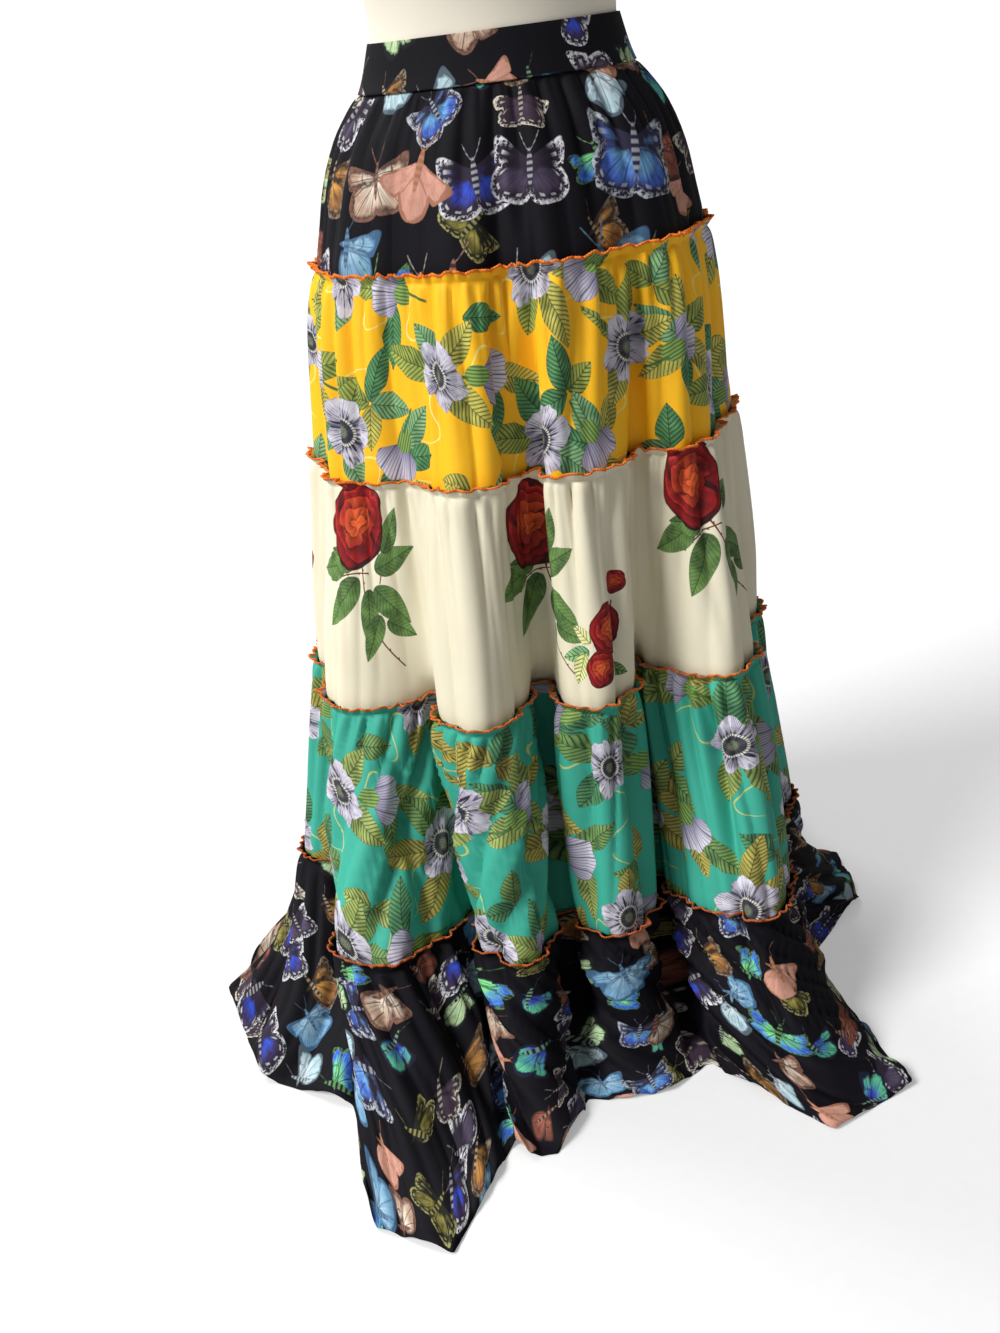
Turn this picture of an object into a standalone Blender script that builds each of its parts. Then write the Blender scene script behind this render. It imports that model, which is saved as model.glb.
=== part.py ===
"""Tiered ruffle skirt on a limbless dress form, at its real size.

A waistband and five gathered tiers, each cut as a front and a back and joined at
the side seams.  Every tier stands up over the one above it as a narrow header.
The skirt is worn by a plain torso form on a pole and a round base.

Metres, +Z up.  The front faces -Y, the origin is the centre of the base's underside.
"""
import math
from collections import namedtuple

import bpy
from mathutils import Vector

# ---------------------------------------------------------------- driving sizes
CLOTH_WALL = 0.0012
BAND_WALL = 0.0020
LAP_GAP = 0.0007
FOOT_TUCK = 0.0010
FOOT_RISE = 0.0025
SIDE_SEAM_GAP = 0.0009
HEADER = 0.008
FLOOR_LIFT = 0.0004
FLOOR_SPREAD = 1.15
FLOOR_SETTLE = 1.7
SLOPE = math.tan(math.radians(2.3))

# FLOOR_SPREAD and FLOOR_SETTLE shape tier 5: how late it runs out over the floor, and
# how soon it comes down to it.  The handles shape the folds: see meander.
STEPS_PER_FOLD_SIDE = 4
CREST_HANDLE = 0.64
HEM_CREST_HANDLE = 0.44
VALLEY_HANDLE = 0.42

WAIST_TOP = 1.015
WAIST_SEAM = 0.970
SEAM_1_2 = 0.808
SEAM_2_3 = 0.613
SEAM_3_4 = 0.381
SEAM_4_5 = 0.133

FORM_STEPS = 44
FORM_UNDERSIDE = 0.757
CLOTH_ROUGHNESS = 0.75
JERSEY_ROUGHNESS = 0.85
METAL_ROUGHNESS = 0.35
POLE_RADIUS = 0.0127
POLE_CLEARANCE = 0.0003
POLE_SIDES = 24
BASE_RADIUS = 0.150
BASE_THICKNESS = 0.012
BASE_CHAMFER = 0.003
BOSS_RADIUS = 0.026
BOSS_HEIGHT = 0.045
SOCKET_FLOOR = 0.015
TURN_STEPS = 48

# ---------------------------------------------------------------- short tables
# The skirt's plain outline without folds: a row for each height.
Level = namedtuple("Level", "height half_width depth_ratio")
OUTLINE = (
    Level(WAIST_TOP + HEADER, 0.1205, 0.78),
    Level(WAIST_TOP, 0.1212, 0.78),
    Level(WAIST_SEAM, 0.1345, 0.80),
    Level(0.930, 0.1600, 0.82),
    Level(0.890, 0.1765, 0.84),
    Level(0.850, 0.1860, 0.865),
    Level(SEAM_1_2, 0.1955, 0.885),
    Level(0.755, 0.2045, 0.88),
    Level(SEAM_2_3, 0.2185, 0.87),
    Level(0.463, 0.2390, 0.89),
    Level(SEAM_3_4, 0.2450, 0.91),
    Level(0.240, 0.2690, 0.93),
    Level(SEAM_4_5, 0.2880, 0.94),
    Level(0.0, 0.3050, 0.95),
)

# The large folds, crest and valley in turn, clockwise from the left side as the
# wearer's front is faced.  turn_* is the angle from the front in degrees, out_* how
# far the fold stands out of the plain outline in millimetres, and hem_reach its
# distance from the axis on the floor in millimetres.
Fold = namedtuple("Fold", "name crest turn_upper turn_lower turn_hem "
                          "out_2_3 out_3_4 out_4_5 hem_reach")
FOLDS = (
    Fold("left_side", True, -98, -100, -60, 4, 10, 16, 418),
    Fold("left_pleat", False, -77, -70, -37.5, -8, -18, -66, 395),
    Fold("front_left", True, -56, -39, -16, 8, 22, 54, 556),
    Fold("front_left_pleat", False, -36, -26, -11, -14, -42, -64, 400),
    Fold("front_inner_left", True, -16, -11, -7, 16, 24, 12, 412),
    Fold("front_pleat", False, -2, 0, 1, -34, -70, -58, 338),
    Fold("front_inner_right", True, 11, 12, 11, 6, 2, -16, 336),
    Fold("front_right_pleat", False, 32, 28, 24, -30, -78, -84, 326),
    Fold("front_right", True, 46, 37, 33, 8, 28, 46, 506),
    Fold("right_pleat", False, 70, 67, 66, -12, -22, -32, 306),
    Fold("right_side", True, 92, 94, 99, 4, -1, -10, 372),
    Fold("right_back_pleat", False, 113, 113, 116, -14, -34, -46, 315),
    Fold("back_right", True, 134, 133, 131, 8, 20, 30, 445),
    Fold("back_right_pleat", False, 154, 153, 153, -22, -52, -60, 330),
    Fold("back", True, 173, 172, 174, 8, 14, 18, 395),
    Fold("back_pleat", False, 191, 192, 195, -18, -46, -56, 335),
    Fold("back_left", True, 212, 213, 218, 10, 22, 32, 455),
    Fold("back_left_pleat", False, 237, 236, 246, -12, -36, -48, 340),
)
FRONT_FIRST, FRONT_LAST = 0, 10
FOLD_DEPTH_AT_SEAM_1_2 = 0.35

# Rows between a tier's two headers, as shares of its height.
Tier = namedtuple("Tier", "name top bottom rows colour")
TIERS = (
    Tier("tier1", WAIST_SEAM, SEAM_1_2, (0.33, 0.68), (0.030, 0.024, 0.036)),
    Tier("tier2", SEAM_1_2, SEAM_2_3, (0.30, 0.65), (0.905, 0.480, 0.020)),
    Tier("tier3", SEAM_2_3, SEAM_3_4, (0.30, 0.65), (0.830, 0.780, 0.640)),
    Tier("tier4", SEAM_3_4, SEAM_4_5, (0.30, 0.65), (0.080, 0.470, 0.370)),
)
# Tier 5's rows, as shares of the way from its seam to the hem.
TIER5_ROWS = (0.16, 0.34, 0.54, 0.76, 1.0)
TIER5_COLOUR = (0.030, 0.024, 0.036)
JERSEY_COLOUR = (0.80, 0.74, 0.62)
METAL_COLOUR = (0.55, 0.55, 0.54)

# The torso form: a row for each height, with its depth before and behind the axis.
Section = namedtuple("Section", "height half_width front back")
TORSO = (
    Section(FORM_UNDERSIDE, 0.118, 0.076, 0.086),
    Section(0.765, 0.138, 0.091, 0.104),
    Section(0.800, 0.156, 0.104, 0.124),
    Section(0.850, 0.156, 0.104, 0.122),
    Section(0.900, 0.146, 0.099, 0.110),
    Section(0.945, 0.134, 0.0965, 0.100),
    Section(0.980, 0.1245, 0.0945, 0.0945),
    Section(1.010, 0.1192, 0.0922, 0.0922),
    Section(1.035, 0.1188, 0.0925, 0.0915),
    Section(1.080, 0.126, 0.101, 0.094),
    Section(1.130, 0.137, 0.118, 0.099),
    Section(1.175, 0.146, 0.134, 0.103),
    Section(1.215, 0.151, 0.134, 0.106),
    Section(1.260, 0.157, 0.118, 0.107),
    Section(1.300, 0.166, 0.099, 0.101),
    Section(1.332, 0.164, 0.083, 0.090),
    Section(1.354, 0.143, 0.072, 0.080),
    Section(1.372, 0.106, 0.064, 0.072),
    Section(1.388, 0.074, 0.058, 0.064),
    Section(1.408, 0.060, 0.054, 0.058),
    Section(1.440, 0.055, 0.053, 0.054),
    Section(1.466, 0.053, 0.052, 0.052),
    Section(1.476, 0.045, 0.044, 0.044),
)


# ---------------------------------------------------------------- curves
def smooth(heights, values, at):
    """A smooth curve through values at rising heights, read at one height."""
    if at <= heights[0]:
        return values[0]
    if at >= heights[-1]:
        return values[-1]
    last = len(heights) - 1
    slopes = []
    for i in range(last + 1):
        low, high = max(i - 1, 0), min(i + 1, last)
        slopes.append((values[high] - values[low]) / (heights[high] - heights[low]))
    i = max(k for k in range(last) if heights[k] <= at)
    span = heights[i + 1] - heights[i]
    t = (at - heights[i]) / span
    rise = t * t * (3 - 2 * t)
    return (values[i] * (1 - rise) + values[i + 1] * rise
            + span * (slopes[i] * t * (1 - t) ** 2 - slopes[i + 1] * t * t * (1 - t)))


def outline_at(height):
    """Half width and half depth of the plain outline at a height."""
    rows = OUTLINE[::-1]
    heights = [row.height for row in rows]
    half_width = smooth(heights, [row.half_width for row in rows], height)
    ratio = smooth(heights, [row.depth_ratio for row in rows], height)
    return half_width, half_width * ratio


def fold_out(fold, height):
    """How far a fold stands out of the plain outline at a height, in metres."""
    heights = (SEAM_4_5, SEAM_3_4, SEAM_2_3, SEAM_1_2, WAIST_SEAM)
    outs = (fold.out_4_5, fold.out_3_4, fold.out_2_3,
            fold.out_2_3 * FOLD_DEPTH_AT_SEAM_1_2, 0.0)
    return smooth(heights, outs, height) / 1000.0


def fold_turn(fold, height):
    return smooth((SEAM_4_5, SEAM_3_4), (fold.turn_lower, fold.turn_upper), height)


def meander(points, crest_handle=CREST_HANDLE):
    """A closed run through (turn, value) points: round crests and narrow valleys.

    Each stretch from one point to the next is a cubic curve whose handles lie along
    the turn; long handles at the crests make them lean over the valleys.
    """
    run = []
    count = len(points)
    for i, (turn, value, crest) in enumerate(points):
        next_turn, next_value, next_crest = points[(i + 1) % count]
        if i == count - 1:
            next_turn += 360.0
        reach = next_turn - turn
        leave = crest_handle if crest else VALLEY_HANDLE
        arrive = crest_handle if next_crest else VALLEY_HANDLE
        turns = (turn, turn + leave * reach, next_turn - arrive * reach, next_turn)
        values = (value, value, next_value, next_value)
        for step in range(STEPS_PER_FOLD_SIDE):
            t = step / STEPS_PER_FOLD_SIDE
            weights = ((1 - t) ** 3, 3 * t * (1 - t) ** 2, 3 * t * t * (1 - t), t ** 3)
            run.append((sum(w * v for w, v in zip(weights, turns)),
                        sum(w * v for w, v in zip(weights, values))))
    return run


# ---------------------------------------------------------------- the skirt's form
def ring_at(height):
    """The skirt's ring of points at a height, folds and all."""
    half_width, half_depth = outline_at(height)
    points = [(fold_turn(f, height), fold_out(f, height), f.crest) for f in FOLDS]
    ring = []
    for turn, out in meander(points):
        angle = math.radians(turn)
        across, along = math.sin(angle), -math.cos(angle)
        outward = Vector((across * half_depth, along * half_width, 0.0)).normalized()
        point = Vector((half_width * across, half_depth * along, height)) + outward * out
        point.z += SLOPE * point.x
        ring.append(point)
    return ring


def hem_ring():
    """The hem where it lies on the floor."""
    points = [(f.turn_hem, f.hem_reach / 1000.0, f.crest) for f in FOLDS]
    ring = []
    for turn, reach in meander(points, HEM_CREST_HANDLE):
        angle = math.radians(turn)
        ring.append(Vector((reach * math.sin(angle), -reach * math.cos(angle), 0.0)))
    return ring


def floor_ring(share):
    """Tier 5's ring at a share of the way from its seam to the hem."""
    top, hem = ring_at(SEAM_4_5), hem_ring()
    outward = share ** FLOOR_SPREAD
    low = CLOTH_WALL / 2 + FLOOR_LIFT
    ring = []
    for high_point, hem_point in zip(top, hem):
        point = high_point.lerp(hem_point, outward)
        point.z = low + (high_point.z - low) * (1 - share) ** FLOOR_SETTLE
        ring.append(point)
    return ring


def shifted_ring(height, offset):
    """The ring at a height, moved out along the form's own normals."""
    ring = ring_at(height)
    above, below = ring_at(height + HEADER), ring_at(height - HEADER)
    shifted = []
    for i, point in enumerate(ring):
        round_way = ring[(i + 1) % len(ring)] - ring[i - 1]
        down_way = below[i] - above[i]
        shifted.append(point + down_way.cross(round_way).normalized() * offset)
    return shifted


# ---------------------------------------------------------------- making pieces
def new_collection(name):
    collection = bpy.data.collections.new(name)
    bpy.context.scene.collection.children.link(collection)
    return collection


def new_material(name, colour, roughness, metallic=0.0):
    material = bpy.data.materials.new(name)
    material.use_nodes = True
    shader = material.node_tree.nodes["Principled BSDF"]
    shader.inputs["Base Color"].default_value = (*colour, 1.0)
    shader.inputs["Roughness"].default_value = roughness
    shader.inputs["Metallic"].default_value = metallic
    return material


def new_object(name, mesh, collection, material):
    piece = bpy.data.objects.new(name, mesh)
    piece.data.materials.append(material)
    collection.objects.link(piece)
    return piece


def cloth_panel(name, rings, columns, wall, collection, material):
    """An open sheet over a run of the rings' columns, given its wall by Solidify."""
    count = len(rings[0])
    points = []
    for ring in rings:
        row = [ring[c % count].copy() for c in columns]
        row[0] += (row[1] - row[0]).normalized() * (SIDE_SEAM_GAP / 2)
        row[-1] += (row[-2] - row[-1]).normalized() * (SIDE_SEAM_GAP / 2)
        points += row
    across = len(columns)
    faces = []
    for r in range(len(rings) - 1):
        for c in range(across - 1):
            corner = r * across + c
            faces.append((corner, corner + across, corner + across + 1, corner + 1))
    mesh = bpy.data.meshes.new(name)
    mesh.from_pydata(points, [], faces)
    mesh.shade_smooth()
    panel = new_object(name, mesh, collection, material)
    thickness = panel.modifiers.new("wall", "SOLIDIFY")
    thickness.thickness = wall
    thickness.offset = 0.0
    return panel


def front_and_back(name, rings, wall, collection, colour):
    """A front and a back panel, meeting at the side seams."""
    material = new_material(name, colour, CLOTH_ROUGHNESS)
    first = FRONT_FIRST * STEPS_PER_FOLD_SIDE
    last = FRONT_LAST * STEPS_PER_FOLD_SIDE
    whole = len(FOLDS) * STEPS_PER_FOLD_SIDE
    cloth_panel(name + "_front", rings, range(first, last + 1), wall, collection, material)
    cloth_panel(name + "_back", rings, range(last, whole + first + 1), wall,
                collection, material)


def build_waistband(collection):
    lap = (BAND_WALL + LAP_GAP) / 2
    rings = [ring_at(WAIST_TOP)]
    rings += [shifted_ring(height, lap) for height in (WAIST_SEAM + HEADER, WAIST_SEAM)]
    front_and_back("waistband", rings, BAND_WALL, collection, TIERS[0].colour)


def build_tier(tier, collection):
    """A tier: its header laps over the one above, its foot goes under the next."""
    lap = (CLOTH_WALL + LAP_GAP) / 2
    head = -lap if tier.top == WAIST_SEAM else lap
    span = tier.top - tier.bottom
    rings = [shifted_ring(height, head) for height in (tier.top + HEADER, tier.top)]
    rings += [ring_at(tier.top - span * share) for share in tier.rows]
    rings.append(shifted_ring(tier.bottom + HEADER, -lap))
    rings.append(shifted_ring(tier.bottom + FOOT_RISE, -lap - FOOT_TUCK))
    front_and_back(tier.name, rings, CLOTH_WALL, collection, tier.colour)


def build_floor_tier(collection):
    lap = (CLOTH_WALL + LAP_GAP) / 2
    rings = [shifted_ring(height, lap) for height in (SEAM_4_5 + HEADER, SEAM_4_5)]
    rings += [floor_ring(share) for share in TIER5_ROWS]
    front_and_back("tier5", rings, CLOTH_WALL, collection, TIER5_COLOUR)


def build_torso(collection, material):
    """The torso form: half-ellipses before and behind the axis, closed at both ends."""
    points = []
    for row in TORSO:
        for step in range(FORM_STEPS):
            angle = 2 * math.pi * step / FORM_STEPS
            depth = row.front if math.cos(angle) > 0 else row.back
            points.append((row.half_width * math.sin(angle), -depth * math.cos(angle),
                           row.height))
    faces = []
    for r in range(len(TORSO) - 1):
        for c in range(FORM_STEPS):
            low, low_next = r * FORM_STEPS + c, r * FORM_STEPS + (c + 1) % FORM_STEPS
            faces.append((low, low_next, low_next + FORM_STEPS, low + FORM_STEPS))
    faces.append(tuple(range(FORM_STEPS - 1, -1, -1)))
    top = (len(TORSO) - 1) * FORM_STEPS
    faces.append(tuple(range(top, top + FORM_STEPS)))
    mesh = bpy.data.meshes.new("form_torso")
    mesh.from_pydata(points, [], faces)
    mesh.shade_smooth()
    return new_object("form_torso", mesh, collection, material)


def build_pole(collection, material):
    bottom = SOCKET_FLOOR + POLE_CLEARANCE
    length = FORM_UNDERSIDE - POLE_CLEARANCE - bottom
    bpy.ops.mesh.primitive_cylinder_add(vertices=POLE_SIDES, radius=POLE_RADIUS, depth=length,
                                        location=(0.0, 0.0, bottom + length / 2))
    pole = bpy.context.object
    pole.name = pole.data.name = "form_pole"
    pole.data.materials.append(material)
    for owner in list(pole.users_collection):
        owner.objects.unlink(pole)
    collection.objects.link(pole)
    return pole


def build_base(collection, material):
    """A turned round base with a boss and a blind socket for the pole."""
    socket = POLE_RADIUS + POLE_CLEARANCE
    profile = (
        (0.0, SOCKET_FLOOR),
        (socket, SOCKET_FLOOR),
        (socket, BOSS_HEIGHT),
        (BOSS_RADIUS, BOSS_HEIGHT),
        (BOSS_RADIUS + BASE_CHAMFER, BASE_THICKNESS + BASE_CHAMFER),
        (BASE_RADIUS - BASE_CHAMFER, BASE_THICKNESS),
        (BASE_RADIUS, BASE_THICKNESS - BASE_CHAMFER),
        (BASE_RADIUS, 0.0),
        (0.0, 0.0),
    )
    mesh = bpy.data.meshes.new("form_base")
    edges = [(i, i + 1) for i in range(len(profile) - 1)]
    mesh.from_pydata([(x, 0.0, z) for x, z in profile], edges, [])
    base = new_object("form_base", mesh, collection, material)
    screw = base.modifiers.new("turned", "SCREW")
    screw.axis = "Z"
    screw.steps = screw.render_steps = TURN_STEPS
    screw.use_merge_vertices = True
    screw.merge_threshold = 0.0001
    return base


def main():
    for leftover in list(bpy.data.objects):
        bpy.data.objects.remove(leftover, do_unlink=True)
    skirt = new_collection("tiered_ruffle_skirt_on_form")
    build_waistband(skirt)
    for tier in TIERS:
        build_tier(tier, skirt)
    build_floor_tier(skirt)
    build_torso(skirt, new_material("form_jersey", JERSEY_COLOUR, JERSEY_ROUGHNESS))
    metal = new_material("form_metal", METAL_COLOUR, METAL_ROUGHNESS, metallic=1.0)
    build_pole(skirt, metal)
    build_base(skirt, metal)


main()
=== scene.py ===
"""Finish for the tiered ruffle skirt on its dress form: cloth, prints, thread and stage.

Each tier is a thin sheet on the form of its solid, with gathers, soft folds and a
ruffled header.  The prints are drawn by nodes on each sheet's flat-cloth map, in metres.
Metres, +Z up.  The front faces -Y, the origin is the centre of the base's underside.
"""
import math
from collections import namedtuple
from functools import partialmethod

import bmesh
import bpy
import numpy as np
from bpy.props import FloatProperty, FloatVectorProperty, PointerProperty
from mathutils import Matrix, Vector


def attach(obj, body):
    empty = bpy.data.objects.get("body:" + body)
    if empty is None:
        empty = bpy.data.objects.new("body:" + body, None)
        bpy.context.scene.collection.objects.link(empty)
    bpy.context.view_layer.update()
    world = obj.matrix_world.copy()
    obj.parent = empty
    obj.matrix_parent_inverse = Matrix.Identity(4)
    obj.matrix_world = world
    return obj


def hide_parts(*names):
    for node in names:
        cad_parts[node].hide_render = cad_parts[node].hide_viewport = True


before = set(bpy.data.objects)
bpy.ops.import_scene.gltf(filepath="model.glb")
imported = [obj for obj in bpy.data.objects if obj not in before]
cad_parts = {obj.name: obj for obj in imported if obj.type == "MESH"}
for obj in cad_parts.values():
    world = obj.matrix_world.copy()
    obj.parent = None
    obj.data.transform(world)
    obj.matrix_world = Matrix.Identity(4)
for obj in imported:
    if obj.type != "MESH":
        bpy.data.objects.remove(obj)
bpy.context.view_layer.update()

bl_info = {
    "name": "Tiered ruffle skirt",
    "version": (1, 0, 0),
    "blender": (4, 5, 0),
    "location": "3D View > Sidebar > Skirt",
    "description": "Makes a tiered ruffle skirt's cloth, prints and thread on its form",
    "category": "Add Mesh",
}

MM = 0.001
CM = 0.01


def table(columns, rows):
    """Rows with named columns."""
    return tuple(map(namedtuple("Row", columns)._make, rows))


# ---------------------------------------------------------------- the form's own sizes
CLOTH_WALL = 1.2 * MM
BAND_WALL = 2.0 * MM
LAP_GAP = 0.7 * MM
FOOT_TUCK = 1.0 * MM
FOOT_RISE = 2.5 * MM
HEADER = 8.0 * MM
CLOTH_LOW = CLOTH_WALL / 2 + 0.4 * MM
FLOOR_SPREAD = 1.15
FLOOR_SETTLE = 1.7
# From this share of the way to the hem its corners begin to show, and there the columns
# are even.  Corners are given by their places beside a crest and a valley, and how far
# each is pushed out.
CRISP_FROM = 0.45
CORNERS, VALLEY = ((-0.30, 1.02), (0.26, 1.03)), ((0, 1.0),)
SLOPE = math.tan(math.radians(2.3))
CREST_HANDLE = 0.64
HEM_CREST_HANDLE = 0.44
VALLEY_HANDLE = 0.42

WAIST_TOP = 1.015
WAIST_SEAM = 0.970
SEAM_1_2 = 0.808
SEAM_2_3 = 0.613
SEAM_3_4 = 0.381
SEAM_4_5 = 0.133
FOLD_DEPTH_AT_SEAM_1_2 = 0.35

OUTLINE = table("height half_width depth_ratio", (
    (WAIST_TOP + HEADER, 0.1205, 0.78),
    (WAIST_TOP, 0.1212, 0.78),
    (WAIST_SEAM, 0.1345, 0.80),
    (0.930, 0.1600, 0.82),
    (0.890, 0.1765, 0.84),
    (0.850, 0.1860, 0.865),
    (SEAM_1_2, 0.1955, 0.885),
    (0.755, 0.2045, 0.88),
    (SEAM_2_3, 0.2185, 0.87),
    (0.463, 0.2390, 0.89),
    (SEAM_3_4, 0.2450, 0.91),
    (0.240, 0.2690, 0.93),
    (SEAM_4_5, 0.2880, 0.94),
    (0.0, 0.3050, 0.95),
))

# The large folds, crest and valley in turn: angles from the front in degrees, how far
# each stands out of the plain outline in millimetres, and its reach on the floor.
FOLDS = table("name crest turn_upper turn_lower turn_hem out_2_3 out_3_4 out_4_5 hem_reach", (
    ("left_side", True, -98, -100, -60, 4, 10, 16, 418),
    ("left_pleat", False, -77, -70, -37.5, -8, -18, -66, 395),
    ("front_left", True, -56, -39, -16, 8, 22, 54, 556),
    ("front_left_pleat", False, -36, -26, -11, -14, -42, -64, 400),
    ("front_inner_left", True, -16, -11, -7, 16, 24, 12, 412),
    ("front_pleat", False, -2, 0, 1, -34, -70, -58, 338),
    ("front_inner_right", True, 11, 12, 11, 6, 2, -16, 336),
    ("front_right_pleat", False, 32, 28, 24, -30, -78, -84, 326),
    ("front_right", True, 46, 37, 33, 8, 28, 46, 506),
    ("right_pleat", False, 70, 67, 66, -12, -22, -32, 306),
    ("right_side", True, 92, 94, 99, 4, -1, -10, 372),
    ("right_back_pleat", False, 113, 113, 116, -14, -34, -46, 315),
    ("back_right", True, 134, 133, 131, 8, 20, 30, 445),
    ("back_right_pleat", False, 154, 153, 153, -22, -52, -60, 330),
    ("back", True, 173, 172, 174, 8, 14, 18, 395),
    ("back_pleat", False, 191, 192, 195, -18, -46, -56, 335),
    ("back_left", True, 212, 213, 218, 10, 22, 32, 455),
    ("back_left_pleat", False, 237, 236, 246, -12, -36, -48, 340),
))
FRONT_END = 10
WHOLE = len(FOLDS)

# ---------------------------------------------------------------- the cloth
# Each tier: its seams, the cloth slot it takes, and the flat size of a panel's cut.
TIERS = table("name top bottom slot front_cut back_cut length", (
    ("tier1", WAIST_SEAM, SEAM_1_2, "butterfly_cloth", 0.60, 0.54, 0.178),
    ("tier2", SEAM_1_2, SEAM_2_3, "yellow_floral_cloth", 0.82, 0.71, 0.212),
    ("tier3", SEAM_2_3, SEAM_3_4, "ivory_rose_cloth", 1.08, 0.89, 0.250),
    ("tier4", SEAM_3_4, SEAM_4_5, "turquoise_floral_cloth", 1.42, 1.14, 0.266),
    ("tier5", SEAM_4_5, None, "butterfly_cloth", 1.48, 1.20, 0.240),
))
BAND_CUT_FRONT, BAND_CUT_BACK, BAND_CUT_LENGTH = 0.385, 0.340, 0.047
HEADER_LIFT = 4.0 * MM
# How brown the overlock thread is on the headers of tiers 2 to 5.
THREAD_BROWNED = (0.2, 0.4, 0.55, 0.8)
# The thread's points along and around it, its stitches and how far it covers the edge.
THREAD_STEP, THREAD_SIDES = 0.75 * MM, 8
STITCH, THREAD_OVERHANG = 2.9 * MM, 0.5 * MM

COLUMN_SPACING, FLOOR_COLUMN_SPACING = 2.3 * MM, 2.875 * MM
BAND_ROWS, BAND_COLUMN_SPACING, BAND_RIM = 15, 2.6 * MM, 0.7 * MM
# Rows of a tier: above its seam, then close below it where the gathers are, in mm.
HEADER_ROWS = (8.0, 6.6, 4.8, 3.0, 1.2, 0.0)
GATHER_ROWS = (2.0, 4.2, 6.6, 9.4, 12.6, 16.4, 21.0, 26.6, 33.4, 41.5)
PLAIN_ROW = 13.0 * MM
# Tier 5's rows, as shares of the way from its seam to the hem.
FLOOR_SHARES = np.linspace(0.0, 1.0, 31)[1:] ** 1.12
# Below a seam and above a foot, over this height, a tier leaves the place of its lap.
LAP_BLEND = 12.0 * MM
# The hem's run round, in millimetres, the share of tier 5 from which it ripples, how high
# the ripples are and how high the cloth before them rises.
HEM_LENGTH, HEM_FROM = 3400, 0.62
HEM_RIPPLE, HEM_RISE = 4.5 * MM, 22 * MM

# Soft folds that start at a seam and run on down through the tiers below it.
FOLD_SETS = table("start narrow wide depth rise fade seed", (
    (WAIST_SEAM, 28, 58, 10.5, 0.045, 0.30, 11),
    (SEAM_1_2, 30, 60, 20.0, 0.035, 0.26, 23),
    (SEAM_2_3, 38, 78, 17.0, 0.045, 0.35, 37),
    (SEAM_3_4, 30, 66, 26.0, 0.040, 0.40, 41),
    (SEAM_4_5, 44, 88, 21.0, 0.060, 0.60, 59),
))
# The folds' ring is longer than a circle, and the folds drift sideways as they fall.
FOLDED_LENGTH = 1.15
FOLD_DRIFT, DRIFTS_ROUND, DRIFT_DOWN = 0.0035, 7, 11
# Gathers just below a seam: fine ones at the stitches, wider ones as they spread.
GATHERS = table("narrow wide depth rise fade", (
    (6.5, 13.0, 4.2, 0.003, 0.026),
    (13.0, 28.0, 14.0, 0.006, 0.075),
))
GATHER_SHARPNESS = 0.75
# The part of a pleat's height that lies inside the plain surface, so that its mean stays.
GATHER_MEAN, FOLD_MEAN = 0.40, 0.42
# How deep each tier's gathers are, as a share, and how much further down they run.
GATHERED = ((0.7, 1.2), (0.95, 1.0), (0.85, 1.0), (1.35, 2.4), (1.2, 1.5))

# Creases that run down the skirt: where on the run of folds, how far they wander along
# it, their width and depth in millimetres, and the heights between which they show.
# Heights below 0 are the cloth that lies on the floor.
CREASES = table("place wander width depth top bottom", (
    (5.0, 0.06, 12, 36, 0.42, -0.16),
    (3.0, -0.10, 10, 26, 0.42, -0.12),
    (7.0, 0.08, 12, 36, 0.43, -0.16),
    (9.0, 0.04, 10, 24, 0.42, -0.10),
    (1.0, 0.05, 10, 20, 0.42, -0.10),
    (5.30, 0.10, 10, 6, 0.79, 0.42),
    (3.4, -0.12, 9, 7, 0.80, 0.46),
    (7.2, 0.10, 9, 8, 0.79, 0.42),
    (4.45, 0.10, 8, 7, 0.62, 0.30),
    (6.2, -0.10, 8, 8, 0.60, 0.24),
    (2.5, 0.12, 8, 9, 0.37, 0.02),
    (3.75, 0.08, 8, 10, 0.37, 0.06),
    (4.4, -0.08, 7, 8, 0.38, 0.10),
    (6.35, 0.12, 8, 9, 0.38, 0.04),
    (7.75, 0.10, 8, 10, 0.38, 0.00),
    (8.45, -0.12, 8, 9, 0.38, 0.02),
    (5.35, 0.06, 8, 6, 0.96, 0.82),
    (4.1, -0.06, 8, 5, 0.96, 0.83),
    (6.6, 0.05, 8, 6, 0.96, 0.81),
    (7.9, -0.05, 8, 5, 0.60, 0.40),
    (8.7, 0.10, 8, 6, 0.79, 0.62),
    (11.0, 0.06, 10, 20, 0.44, -0.12),
    (13.0, -0.08, 11, 24, 0.42, -0.14),
    (15.0, 0.06, 10, 22, 0.45, -0.12),
    (17.0, 0.08, 10, 20, 0.42, -0.12),
    (11.6, -0.10, 8, 8, 0.62, 0.28),
    (12.4, 0.10, 8, 9, 0.38, 0.02),
    (13.5, 0.08, 8, 8, 0.80, 0.42),
    (14.4, -0.10, 8, 9, 0.38, 0.04),
    (15.6, 0.08, 8, 7, 0.79, 0.46),
    (16.4, -0.12, 8, 9, 0.38, 0.00),
    (17.5, 0.10, 8, 8, 0.62, 0.30),
))
# Over this height a crease grows from nothing at each of its ends.
CREASE_END = 0.06

# Rows added to a print's first one, so that no number that picks a cell is negative.
FAR_ROWS = 40.0


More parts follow.
